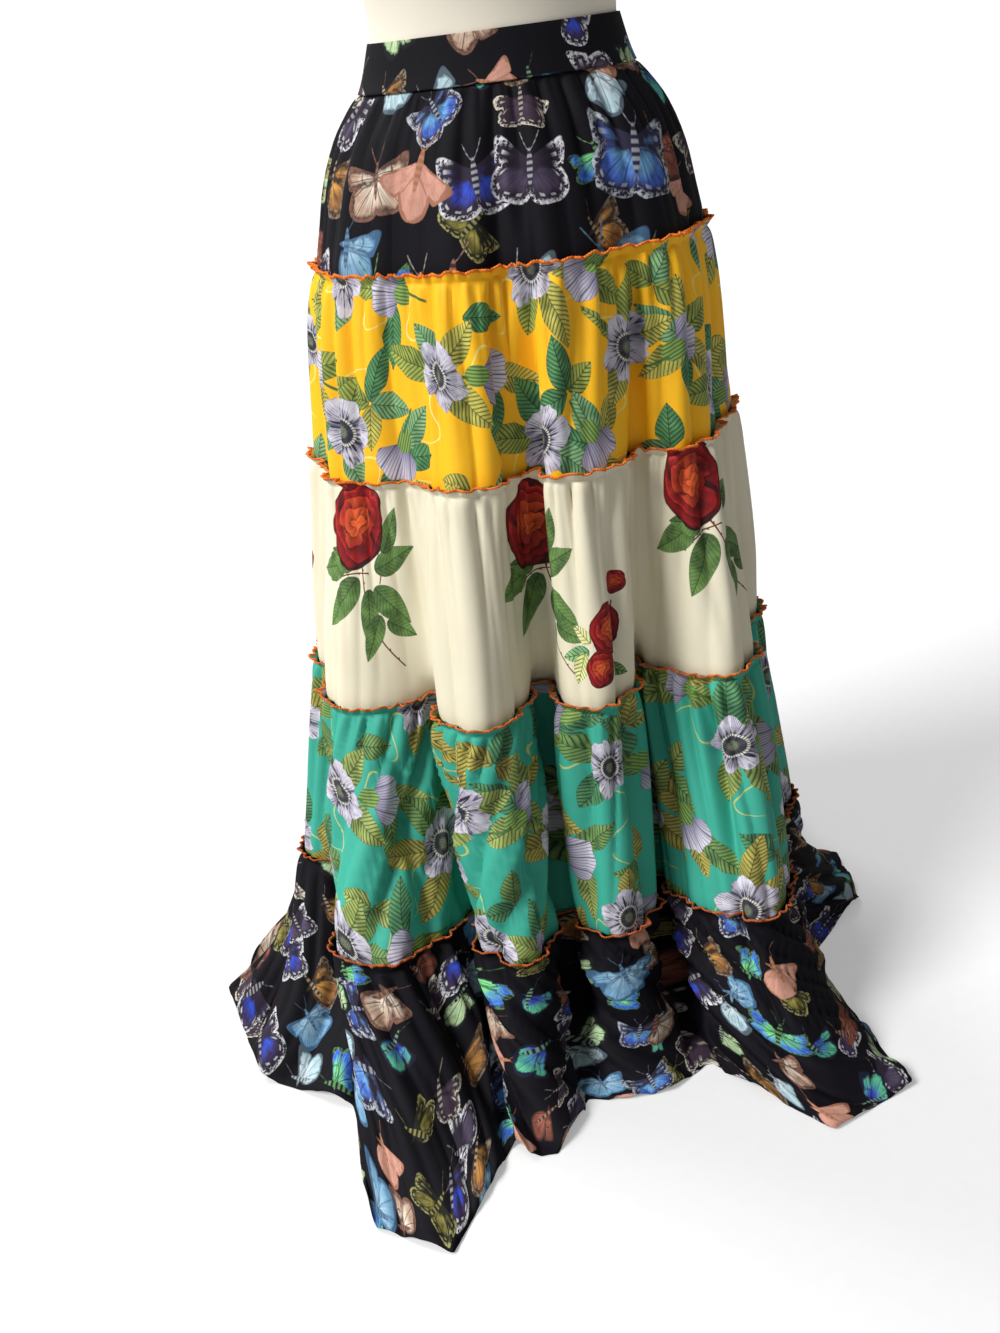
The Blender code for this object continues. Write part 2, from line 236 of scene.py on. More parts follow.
# ---------------------------------------------------------------- curves
def smooth(heights, values, at):
    """A smooth curve through values at rising heights, read at one height."""
    if at <= heights[0]:
        return values[0]
    if at >= heights[-1]:
        return values[-1]
    last = len(heights) - 1
    slopes = []
    for i in range(last + 1):
        low, high = max(i - 1, 0), min(i + 1, last)
        slopes.append((values[high] - values[low]) / (heights[high] - heights[low]))
    i = max(k for k in range(last) if heights[k] <= at)
    span = heights[i + 1] - heights[i]
    t = (at - heights[i]) / span
    rise = t * t * (3 - 2 * t)
    return (values[i] * (1 - rise) + values[i + 1] * rise
            + span * (slopes[i] * t * (1 - t) ** 2 - slopes[i + 1] * t * t * (1 - t)))


def outline_at(height):
    """Half width and half depth of the plain outline at a height."""
    rows = OUTLINE[::-1]
    heights = [row.height for row in rows]
    half_width = smooth(heights, [row.half_width for row in rows], height)
    ratio = smooth(heights, [row.depth_ratio for row in rows], height)
    return half_width, half_width * ratio


def fold_out(fold, height):
    heights = (SEAM_4_5, SEAM_3_4, SEAM_2_3, SEAM_1_2, WAIST_SEAM)
    outs = (fold.out_4_5, fold.out_3_4, fold.out_2_3,
            fold.out_2_3 * FOLD_DEPTH_AT_SEAM_1_2, 0.0)
    return smooth(heights, outs, height) * MM


def fold_turn(fold, height):
    return smooth((SEAM_4_5, SEAM_3_4), (fold.turn_lower, fold.turn_upper), height)


def meander(turns, values, places, crest_handle=CREST_HANDLE):
    """Turn and value at places along the folds; turns and values have a row a height."""
    index = np.floor(places).astype(int) % WHOLE
    after = (index + 1) % WHOLE
    t = places - np.floor(places)
    crests = np.array([fold.crest for fold in FOLDS])
    handles = np.where(crests, crest_handle, VALLEY_HANDLE)
    start, end = turns[:, index], turns[:, after] + np.where(after == 0, 360.0, 0.0)
    reach = end - start
    near, far = start + handles[index] * reach, end - handles[after] * reach
    weights = ((1 - t) ** 3, 3 * t * (1 - t) ** 2, 3 * t * t * (1 - t), t ** 3)
    turn = weights[0] * start + weights[1] * near + weights[2] * far + weights[3] * end
    value = ((weights[0] + weights[1]) * values[:, index]
             + (weights[2] + weights[3]) * values[:, after])
    return turn, value


def rings(heights, places):
    """The form's points, a row for each height and a column for each place."""
    outlines = np.array([outline_at(h) for h in heights])
    half_width, half_depth = outlines[:, :1], outlines[:, 1:]
    turns = np.array([[fold_turn(f, h) for f in FOLDS] for h in heights], float)
    outs = np.array([[fold_out(f, h) for f in FOLDS] for h in heights])
    turn, out = meander(turns, outs, places)
    across, along = np.sin(np.radians(turn)), -np.cos(np.radians(turn))
    out_x, out_y = across * half_depth, along * half_width
    size = np.hypot(out_x, out_y)
    x = half_width * across + out_x / size * out
    y = half_depth * along + out_y / size * out
    z = np.array(heights)[:, None] + SLOPE * x
    return np.stack((x, y, z), axis=-1)


def floor_rings(shares, places):
    """Tier 5's points at shares of the way from its seam to the hem."""
    top = rings([SEAM_4_5], places)[0]
    turns = np.array([[f.turn_hem for f in FOLDS]], float)
    reaches = np.array([[f.hem_reach * MM for f in FOLDS]])
    turn, reach = meander(turns, reaches, places, HEM_CREST_HANDLE)
    angle = np.radians(turn[0])
    hem = np.stack((reach[0] * np.sin(angle), -reach[0] * np.cos(angle)), axis=-1)
    cornered = cornered_hem(hem, places)
    rows = []
    for share in shares:
        outward = share ** FLOOR_SPREAD
        crisp = max((share - CRISP_FROM) / (1 - CRISP_FROM), 0.0) ** 1.3
        row = np.empty_like(top)
        edge = hem * (1 - crisp) + cornered * crisp
        row[:, :2] = top[:, :2] * (1 - outward) + edge * outward
        row[:, 2] = CLOTH_LOW + (top[:, 2] - CLOTH_LOW) * (1 - share) ** FLOOR_SETTLE
        rows.append(row)
    return np.array(rows)


def cornered_hem(hem, places):
    """The hem drawn straight between corners on each side of the crests, and the valleys."""
    corners = []
    for number, fold in enumerate(FOLDS):
        corners += [(number + at, push) for at, push in (CORNERS if fold.crest else VALLEY)]
    corners = sorted((place % WHOLE, push) for place, push in corners)
    at = np.array([place for place, push in corners])
    closed_places = np.concatenate((places, [places[0] + WHOLE]))
    closed_hem = np.concatenate((hem, hem[:1]))
    xy = np.stack([np.interp(at, closed_places, closed_hem[:, k]) for k in range(2)], axis=1)
    xy *= np.array([push for place, push in corners])[:, None]
    at = np.concatenate((at - WHOLE, at, at + WHOLE))
    xy = np.concatenate((xy, xy, xy))
    return np.stack([np.interp(places, at, xy[:, k]) for k in range(2)], axis=1)


def even_places(ring_of, spacing):
    """Places spaced evenly along the cloth, with a column at each side seam."""
    fine = np.linspace(0.0, WHOLE, WHOLE * 200 + 1)
    ring = ring_of(fine)
    steps = np.linalg.norm(np.diff(ring, axis=0), axis=1)
    run = np.concatenate(([0.0], np.cumsum(steps)))
    seam = np.interp(FRONT_END, fine, run)
    front = np.linspace(0.0, seam, max(int(seam / spacing), 8) + 1)
    back = np.linspace(seam, run[-1], max(int((run[-1] - seam) / spacing), 8) + 1)
    places = np.interp(np.concatenate((front, back[1:])), run, fine)
    return places[:-1], len(front) - 1


def shares_round(points):
    """How far round each row each column is, from 0 to 1 by arc length."""
    steps = np.linalg.norm(np.roll(points, -1, axis=1) - points, axis=2)
    run = np.cumsum(steps, axis=1)
    return (run - steps) / run[:, -1:], run[:, -1]


def outward_normals(points):
    round_way = np.roll(points, -1, axis=1) - np.roll(points, 1, axis=1)
    down_way = np.gradient(points, axis=0)
    normals = np.cross(down_way, round_way)
    return normals / np.maximum(np.linalg.norm(normals, axis=2, keepdims=True), 1e-12)


# ---------------------------------------------------------------- gathers and folds
def pleats(at, seed, length, narrow, wide, sharpness):
    """Uneven rounded pleats round a closed length: 0 in each valley, up to 1 at a crest.

    at is the share of the way round; narrow and wide are the pleats' widths.
    """
    rng = np.random.default_rng(seed)
    widths = rng.uniform(narrow, wide, max(int(2 * length / (narrow + wide)), 3))
    edges = np.concatenate(([0.0], np.cumsum(widths))) / widths.sum()
    depths = rng.uniform(0.45, 1.0, len(widths))
    at = at % 1.0
    index = np.clip(np.searchsorted(edges, at, side="right") - 1, 0, len(depths) - 1)
    share = (at - edges[index]) / (edges[index + 1] - edges[index])
    return np.sin(np.pi * share) ** sharpness * depths[index]


def folds_at(shares, levels):
    """The soft folds of every set, at shares round the rings of the given levels."""
    total = np.zeros_like(shares)
    for folds in FOLD_SETS:
        drop = np.maximum(folds.start - levels, 0.0)
        grown, kept = 1 - np.exp(-drop / folds.rise), np.exp(-drop / folds.fade)
        length = 2 * math.pi * outline_at(folds.start)[0] * FOLDED_LENGTH
        drift = FOLD_DRIFT * np.sin(2 * math.pi * (shares * DRIFTS_ROUND + folds.seed * 0.13)
                                    + levels[:, None] * DRIFT_DOWN)
        wave = pleats(shares + drift, folds.seed, length / MM, folds.narrow, folds.wide, 0.9)
        total += (folds.depth * MM * grown * kept)[:, None] * (wave - FOLD_MEAN)
    return total


def creases_at(shares, levels, lengths, places):
    """The listed creases, as soft troughs."""
    total = np.zeros_like(shares)
    for crease in CREASES:
        span = crease.top - crease.bottom
        for row, level in enumerate(levels):
            down = (crease.top - level) / span
            shown = min(down, 1 - down) * span / CREASE_END
            if shown <= 0:
                continue
            shown = min(shown, 1.0)
            fade = shown ** 2 * (3 - 2 * shown)
            place = crease.place + crease.wander * (down - 0.5)
            centre = np.interp(place, places, shares[row])
            away = (shares[row] - centre + 0.5) % 1.0 - 0.5
            away *= lengths[row] / (crease.width * MM)
            total[row] -= crease.depth * MM * fade * np.exp(-away ** 2)
    return total


def gathers_at(shares, below, length, seed, depth_scale, run):
    """The gathers of one tier, at distances below its seam."""
    total = np.zeros_like(shares)
    down = np.maximum(below, 0.0)
    for number, gather in enumerate(GATHERS):
        profile = (1 - np.exp(-down / gather.rise)) * np.exp(-down / gather.fade / run)
        wave = pleats(shares, seed + number, length / MM, gather.narrow, gather.wide,
                      GATHER_SHARPNESS) - GATHER_MEAN
        total += (gather.depth * MM * depth_scale * profile)[:, None] * wave
    return total


def header_at(shares, above, length, seed, sizes):
    """How far the ruffled header stands out, at distances above the seam."""
    rise = np.clip(above / HEADER, 0.0, 1.0)
    wave = pleats(shares, seed + 7, length / MM, 8.0, 17.0, 1.1)
    return ((sizes.header_flare * MM * rise)[:, None]
            + (sizes.header_ripple * MM * rise ** 0.8)[:, None] * wave)


def header_lift(shares, above, length, seed):
    """How unevenly high the header stands, at distances above the seam."""
    rise = np.clip(above / HEADER, 0.0, 1.0) ** 1.5
    wave = pleats(shares, seed + 8, length / MM, 9.0, 26.0, 1.2)
    return (HEADER_LIFT * rise)[:, None] * (wave - 0.5)


# ---------------------------------------------------------------- meshes
def new_object(name, mesh, material):
    piece = bpy.data.objects.new(name, mesh)
    mesh.materials.append(material)
    bpy.context.scene.collection.objects.link(piece)
    return piece


def modify(piece, kind, **settings):
    """Adds a modifier and applies it."""
    modifier = piece.modifiers.new(kind.lower(), kind)
    for name, value in settings.items():
        setattr(modifier, name, value)
    with bpy.context.temp_override(object=piece, active_object=piece):
        bpy.ops.object.modifier_apply(modifier=modifier.name)


def grid_mesh(name, points, us, vs, closed=False):
    """A sheet of quads over rows of points, with its flat-cloth map in metres."""
    rows, columns = points.shape[:2]
    r, c = np.meshgrid(np.arange(rows - 1), np.arange(columns if closed else columns - 1),
                       indexing="ij")
    corner, beside = (r * columns + c).ravel(), (r * columns + (c + 1) % columns).ravel()
    faces = np.stack((corner, corner + columns, beside + columns, beside), axis=1)
    mesh = bpy.data.meshes.new(name)
    mesh.from_pydata(points.reshape(-1, 3).tolist(), [], faces.tolist())
    across = np.stack((c, c, c + 1, c + 1), axis=-1).reshape(-1)
    down = np.stack((r, r + 1, r + 1, r), axis=-1).reshape(-1)
    layer = mesh.uv_layers.new(name="cloth")
    layer.data.foreach_set("uv", np.stack((us[across], vs[down]), axis=-1).ravel())
    mesh.shade_smooth()
    return mesh


def sheet_piece(name, points, us, vs, wall, material, rim=0.0):
    piece = new_object(name, grid_mesh(name, points, us, vs), material)
    modify(piece, "SOLIDIFY", thickness=wall, offset=0.0)
    if rim:
        modify(piece, "BEVEL", width=rim, segments=3, limit_method="ANGLE",
               angle_limit=math.radians(60))
    return piece


def panel_pieces(name, points, us, vs, split, wall, material, rim=0.0):
    """The front and back panels of a ring of cloth; the back ends on the first column."""
    made = []
    for side, part, part_us in (
            ("front", points[:, :split + 1], us[:split + 1]),
            ("back", np.concatenate((points[:, split:], points[:, :1]), axis=1), us[split:])):
        node = f"{name}_{side}"
        piece = sheet_piece(node + "_cloth", part, part_us, vs, wall, material, rim)
        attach(piece, "root")
        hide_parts(node)
        made.append(piece)
    return made


def across_cut(front_cut, back_cut, split, columns):
    """Each column's place across the flat front and back, the closing column's too."""
    whole = front_cut + back_cut
    return np.concatenate((np.linspace(0.0, front_cut, split + 1),
                           np.linspace(front_cut, whole, columns - split + 1)[1:]))


def side_seam_dip(us, split, depth=1.1 * MM, reach=2.4 * MM):
    """How far each column dips into the two side seams."""
    at = us[:-1]
    from_seam = np.minimum(np.minimum(at, us[-1] - at), np.abs(at - at[split]))
    return -depth * np.exp(-(from_seam / reach) ** 2)


# ---------------------------------------------------------------- the tiers
def tier_levels(tier):
    """Row heights of a tier, from its header's edge down to its foot."""
    rows = [tier.top + mm * MM for mm in HEADER_ROWS]
    rows += [tier.top - mm * MM for mm in GATHER_ROWS]
    foot = tier.bottom + FOOT_RISE
    lap_top = tier.bottom + HEADER
    count = int((rows[-1] - lap_top) / PLAIN_ROW) + 1
    rows += list(np.linspace(rows[-1], lap_top, count + 1)[1:])
    return np.array(rows + [(lap_top + foot) / 2, foot])


def run_down(points):
    """Each row's distance from the first one, along the cloth."""
    steps = np.linalg.norm(np.diff(points, axis=0), axis=2).mean(axis=1)
    return np.concatenate(([0.0], np.cumsum(steps)))


def tier_base(tier):
    """A tier's plain points, its rows' levels, its columns' places and the far side seam."""
    if tier.bottom is not None:
        levels = tier_levels(tier)
        middle = (tier.top + tier.bottom) / 2
        places, split = even_places(lambda at: rings([middle], at)[0], COLUMN_SPACING)
        return rings(levels, places), levels, places, split
    upper = tier.top + np.array(HEADER_ROWS) * MM
    places, split = even_places(lambda at: floor_rings([CRISP_FROM], at)[0],
                                FLOOR_COLUMN_SPACING)
    base = np.concatenate((rings(upper, places), floor_rings(FLOOR_SHARES, places)))
    levels = np.concatenate((upper, tier.top - run_down(base[len(upper) - 1:])[1:]))
    return base, levels, places, split


def tier_surface(tier, sizes):
    """The tier's finished middle surface, its flat map and the far side seam's column."""
    lap = (CLOTH_WALL + LAP_GAP) / 2
    number = TIERS.index(tier) + 1
    seed = 100 * number
    base, levels, places, split = tier_base(tier)
    shares, lengths = shares_round(base)
    below, above = tier.top - levels, levels - tier.top
    seam_length = lengths[len(HEADER_ROWS) - 1]
    offset = folds_at(shares, levels)
    depth, run_on = GATHERED[number - 1]
    offset += gathers_at(shares, below, seam_length, seed, sizes.gather_depth * depth, run_on)
    offset += creases_at(shares, levels, lengths, places)
    # Tier 1 lies inside the waistband, and every other tier outside the one above it.
    side = -1.0 if number == 1 else 1.0
    offset += (np.where(above >= -1e-9, 1.0, np.exp(-below / LAP_BLEND)) * side * lap)[:, None]
    if number > 1:
        offset += header_at(shares, above, seam_length, seed, sizes)
    if tier.bottom is not None:
        over_lap = levels - tier.bottom - HEADER
        near_foot = np.clip(1 - over_lap / LAP_BLEND, 0.0, 1.0)
        tucked = np.clip(-over_lap / (HEADER - FOOT_RISE), 0.0, 1.0)
        offset -= (near_foot * lap + tucked * FOOT_TUCK)[:, None]
    us = across_cut(tier.front_cut, tier.back_cut, split, len(places))
    offset += side_seam_dip(us, split)
    points = base + outward_normals(base) * offset[:, :, None]
    if number > 1:
        points[:, :, 2] += header_lift(shares, above, seam_length, seed)
    if tier.bottom is None:
        settle_on_floor(points, shares)
    down = run_down(points)
    return points, us, down - down[len(HEADER_ROWS) - 1], split


def settle_on_floor(points, shares):
    """Lifts ripples where the cloth runs out over the floor, and lets none sink in."""
    first = len(HEADER_ROWS)
    hem = np.clip((FLOOR_SHARES - HEM_FROM) / (1 - HEM_FROM), 0.0, 1.0)[:, None]
    wave = pleats(shares[first:], 77, HEM_LENGTH, 60, 130, 1.2)
    broad = pleats(shares[first:] + 0.05 * FLOOR_SHARES[:, None], 78, HEM_LENGTH, 110, 260, 1.6)
    points[first:, :, 2] += hem * (HEM_RIPPLE * wave) + hem * (1 - hem) * HEM_RISE * broad
    points[:, :, 2] = np.maximum(points[:, :, 2], CLOTH_LOW)


def thread_along(name, points, material, sizes):
    """Overlock thread wrapped over a header's edge, as one closed ring."""
    edge, under = points[0], points[2]
    steps = np.linalg.norm(np.roll(edge, -1, axis=0) - edge, axis=1)
    run = np.concatenate(([0.0], np.cumsum(steps)))
    count = int(run[-1] / THREAD_STEP)
    at = np.linspace(0.0, run[-1], count, endpoint=False)

    def along(values):
        closed = np.concatenate((values, values[:1]))
        return np.stack([np.interp(at, run, closed[:, k]) for k in range(3)], axis=1)

    middle, down = along(edge), along(under - edge)
    down /= np.linalg.norm(down, axis=1, keepdims=True)
    way = np.roll(middle, -1, axis=0) - np.roll(middle, 1, axis=0)
    out = np.cross(down, way)
    out /= np.linalg.norm(out, axis=1, keepdims=True)
    rng = np.random.default_rng(len(at))
    stitch = 2 * math.pi * at / STITCH + np.cumsum(rng.normal(0.0, 0.05, count))
    around = 2 * math.pi * np.arange(THREAD_SIDES) / THREAD_SIDES
    tall, thick = sizes.thread_height * MM / 2, sizes.thread_thickness * MM / 2
    centre = middle + down * (tall - THREAD_OVERHANG)
    section = []
    for angle in around:
        bulge = 1 + 0.20 * np.sin(stitch + 1.6 * math.sin(angle))
        flat = abs(math.cos(angle)) ** 0.7 * math.copysign(1.0, math.cos(angle))
        section.append(centre + down * (tall * math.sin(angle) * bulge)[:, None]
                       - out * (thick * flat * bulge)[:, None])
    tube = np.stack(section, axis=0)
    tube = np.concatenate((tube, tube[:1]), axis=0)
    us = np.concatenate((at, [run[-1]]))
    vs = np.linspace(0.0, 1.0, THREAD_SIDES + 1)
    piece = new_object(name, grid_mesh(name, tube, us, vs, closed=True), material)
    modify(piece, "WELD", merge_threshold=0.001 * MM)
    return piece


def join_facets(mesh):
    """Makes quads of the triangles, and one face of each flat end, before they are smoothed."""
    form = bmesh.new()
    form.from_mesh(mesh)
    for up in (1.0, -1.0):
        end = [face for face in form.faces if face.normal.z * up > 0.999]
        level = max(face.calc_center_median().z * up for face in end)
        bmesh.ops.dissolve_faces(form, faces=[face for face in end if
                                              face.calc_center_median().z * up > level - MM])
    sides = [face for face in form.faces if len(face.verts) == 3]
    bmesh.ops.join_triangles(form, faces=sides, angle_face_threshold=math.radians(30),
                             angle_shape_threshold=math.radians(50))
    form.to_mesh(mesh)
    form.free()


# ---------------------------------------------------------------- simple materials
def srgb(red, green, blue):
    """A colour given as it looks on screen, 0 to 255, as linear values."""
    return tuple((c / 255 / 12.92) if c <= 10 else ((c / 255 + 0.055) / 1.055) ** 2.4
                 for c in (red, green, blue))


def grey(level):
    return level, level, level


def chosen_colour(name):
    """A colour of the panel's, as linear values."""
    return tuple(getattr(bpy.context.scene.skirt_colours, name))


def new_material(name, roughness, metallic=0.0):
    material = bpy.data.materials.new(name)
    material.use_nodes = True
    shader = material.node_tree.nodes["Principled BSDF"]
    shader.inputs["Roughness"].default_value = roughness
    shader.inputs["Metallic"].default_value = metallic
    return material, material.node_tree, shader


# ---------------------------------------------------------------- node arithmetic
class Term:
    """A socket's value.  Arithmetic on it adds Math nodes to the socket's tree."""

    def __init__(self, socket):
        self.socket = socket

    def math(self, operation, *others):
        """The outcome of a Math node that is fed with this value and the others."""
        return Term(new_node("Math", (self, *others), operation=operation).outputs[0])

    __add__ = __radd__ = partialmethod(math, "ADD")
    __sub__ = partialmethod(math, "SUBTRACT")
    __rsub__ = partialmethod(math, "MULTIPLY_ADD", -1.0)
    __mul__ = __rmul__ = partialmethod(math, "MULTIPLY")
    __truediv__ = partialmethod(math, "DIVIDE")
    __pow__ = partialmethod(math, "POWER")
    __abs__ = partialmethod(math, "ABSOLUTE")
    floor = partialmethod(math, "FLOOR")
    fraction = partialmethod(math, "FRACT")
    sine = partialmethod(math, "SINE")
    at_most = partialmethod(math, "MINIMUM")
    at_least = partialmethod(math, "MAXIMUM")

    def ramp(self, start, end):
        """0 at start, 1 at end, and level beyond both."""
        return Term(new_node("MapRange", (self, start, end)).outputs["Result"])

    def lines(self, count):
        """Distance from the nearest of evenly repeated lines: 0 on one, 1 midway."""
        return abs((self * count).fraction() - 0.5) * 2.0


def plug(entry, value):
    """Links a term or a socket to a node's input, or sets the input's value."""
    value = getattr(value, "socket", value)
    if isinstance(value, bpy.types.NodeSocket):
        entry.id_data.links.new(value, entry)
    elif isinstance(value, tuple) and len(value) == 3 and entry.type == "RGBA":
        entry.default_value = (*value, 1.0)
    else:
        entry.default_value = value


def new_node(kind, values, **settings):
    """A node fed with values, in the tree of the first of them that is a term."""
    tree = next(value for value in values if isinstance(value, Term)).socket.id_data
    node = tree.nodes.new("ShaderNode" + kind)
    for name, value in settings.items():
        setattr(node, name, value)
    for entry, value in zip(node.inputs, values):
        plug(entry, value)
    return node


def vector(x, y, z=0.0):
    return Term(new_node("CombineXYZ", (x, y, z)).outputs[0])


def parts(joined):
    """The three values of a vector's or a colour's term."""
    return tuple(map(Term, new_node("SeparateXYZ", (joined,)).outputs))


def turned(x, y, angle):
    """x and y turned about the origin by an angle in radians."""
    node = new_node("VectorRotate", (vector(x, y),), rotation_type="Z_AXIS")
    plug(node.inputs["Angle"], angle)
    return parts(Term(node.outputs[0]))[:2]


def distance(x, y):
    node = new_node("VectorMath", (vector(x, y),), operation="LENGTH")
    return Term(node.outputs["Value"])


def noise(x, y, scale, detail=2.0, z=0.0):
    node = new_node("TexNoise", (vector(x, y, z),))
    node.inputs["Scale"].default_value = scale
    node.inputs["Detail"].default_value = detail
    return Term(node.outputs["Fac"])


def randoms(x, y, z=0.0):
    """Three random numbers from 0 to 1 that go with x, y and z."""
    node = new_node("TexWhiteNoise", (vector(x, y, z),), noise_dimensions="3D")
    return parts(Term(node.outputs["Color"]))


def blend(under, over, share):
    """The colour over laid on the colour under, by a share from 0 to 1."""
    node = new_node("Mix", (share,), data_type="RGBA")
    first, second = (entry for entry in node.inputs if entry.type == "RGBA")
    plug(first, under)
    plug(second, over)
    return Term(next(output for output in node.outputs if output.type == "RGBA"))


def chosen(pick, colours):
    """One of the colours for a pick from 0 to 1."""
    node = new_node("ValToRGB", (pick,))
    ramp = node.color_ramp
    ramp.interpolation = "CONSTANT"
    while len(ramp.elements) < len(colours):
        ramp.elements.new(0.5)
    for number, element in enumerate(ramp.elements):
        element.position = number / len(colours)
    for element, colour in zip(ramp.elements, colours):
        element.color = (*colour, 1.0)
    return Term(node.outputs["Color"])


def turn_of(x, y):
    """The turn about the origin, as a share of a circle."""
    return y.math("ARCTAN2", x) / (2 * math.pi)


def bricks(u, v, width, height, seed, shift=0.5, begin=(0.0, 0.0), kinds=0):
    """Place in the nearest cell of a brick layout, from its centre, and random numbers.

    With kinds, the first number steps through that many so that near cells differ.
    """
    row_at = v / height + (begin[1] + FAR_ROWS)
    row = row_at.floor()
    column_at = u / width + row * shift + begin[0]
    column = column_at.floor()
    x = (column_at - column - 0.5) * width
    y = (row + 0.5 - row_at) * height
    first = randoms(column, row, float(seed))
    if kinds:
        step = column * 5.0 + row * 3.0 + (seed + 0.5)
        first = (step / float(kinds)).fraction(), *first[1:]
    return x, y, first, randoms(column, row, seed + 0.5)


# ---------------------------------------------------------------- butterfly print
WINGS = table("name inner middle margin spots droop narrow side veins edge fringe", (
    ("royal", (50, 92, 236), (62, 50, 92), (44, 36, 50), (226, 226, 230), 0.1, 0, 0, 0.4, 0.8, 1),
    ("powder", (158, 190, 208), (116, 160, 190), (60, 92, 122), (134, 160, 178),
     0.35, 0.1, 0, 0.7, 0.3, 0),
    ("moth", (206, 152, 136), (196, 146, 128), (152, 104, 84), (206, 148, 96),
     0.95, 0.15, 0, 0.25, 0.1, 0),
    ("aubergine", (70, 54, 70), (60, 46, 60), (44, 34, 44), (226, 218, 198),
     0.45, 0.6, 0, 0.3, 0.35, 0.9),
    ("leaf", (196, 218, 170), (178, 206, 158), (22, 26, 26), (206, 226, 196),
     0.1, 0.2, 1, 1, 0.35, 0),
    ("longwing", (128, 220, 136), (64, 112, 214), (26, 28, 48), (150, 222, 110),
     0, 0.9, 0, 0.75, 0.2, 0.3),
    ("olive", (176, 166, 84), (104, 96, 46), (34, 34, 26), (206, 198, 122),
     0.3, 0.9, 0, 0.7, 0.8, 0.6),
    ("slate", (70, 60, 84), (86, 74, 96), (40, 34, 46), (222, 220, 226), 0, 0, 0, 0.3, 0.8, 1),
    ("mist", (206, 218, 222), (176, 202, 210), (78, 92, 102), (232, 240, 240),
     0.2, 0.1, 1, 0.6, 0.25, 0),
    ("cream", (226, 214, 196), (196, 168, 146), (84, 62, 54), (176, 122, 102),
     0.2, 0.1, 0, 0.9, 0.4, 0.4),
    ("rust", (170, 104, 84), (128, 72, 58), (70, 42, 38), (214, 168, 146),
     0.6, 0.4, 1, 0.9, 0.3, 0),
    ("amber", (210, 152, 74), (134, 92, 56), (58, 42, 34), (232, 214, 182),
     0.3, 0.1, 1, 0.6, 0.5, 0.3),
    ("sky", (120, 182, 226), (70, 104, 196), (44, 40, 60), (220, 228, 236),
     0.1, 0, 0, 0.5, 0.7, 0.7),
    ("indigo", (58, 74, 190), (96, 190, 150), (26, 28, 48), (164, 216, 150),
     0.5, 0.7, 1, 0.7, 0.3, 0),
))


def wing_colours(pick, field):
    return chosen(pick, [srgb(*getattr(wing, field)) for wing in WINGS])


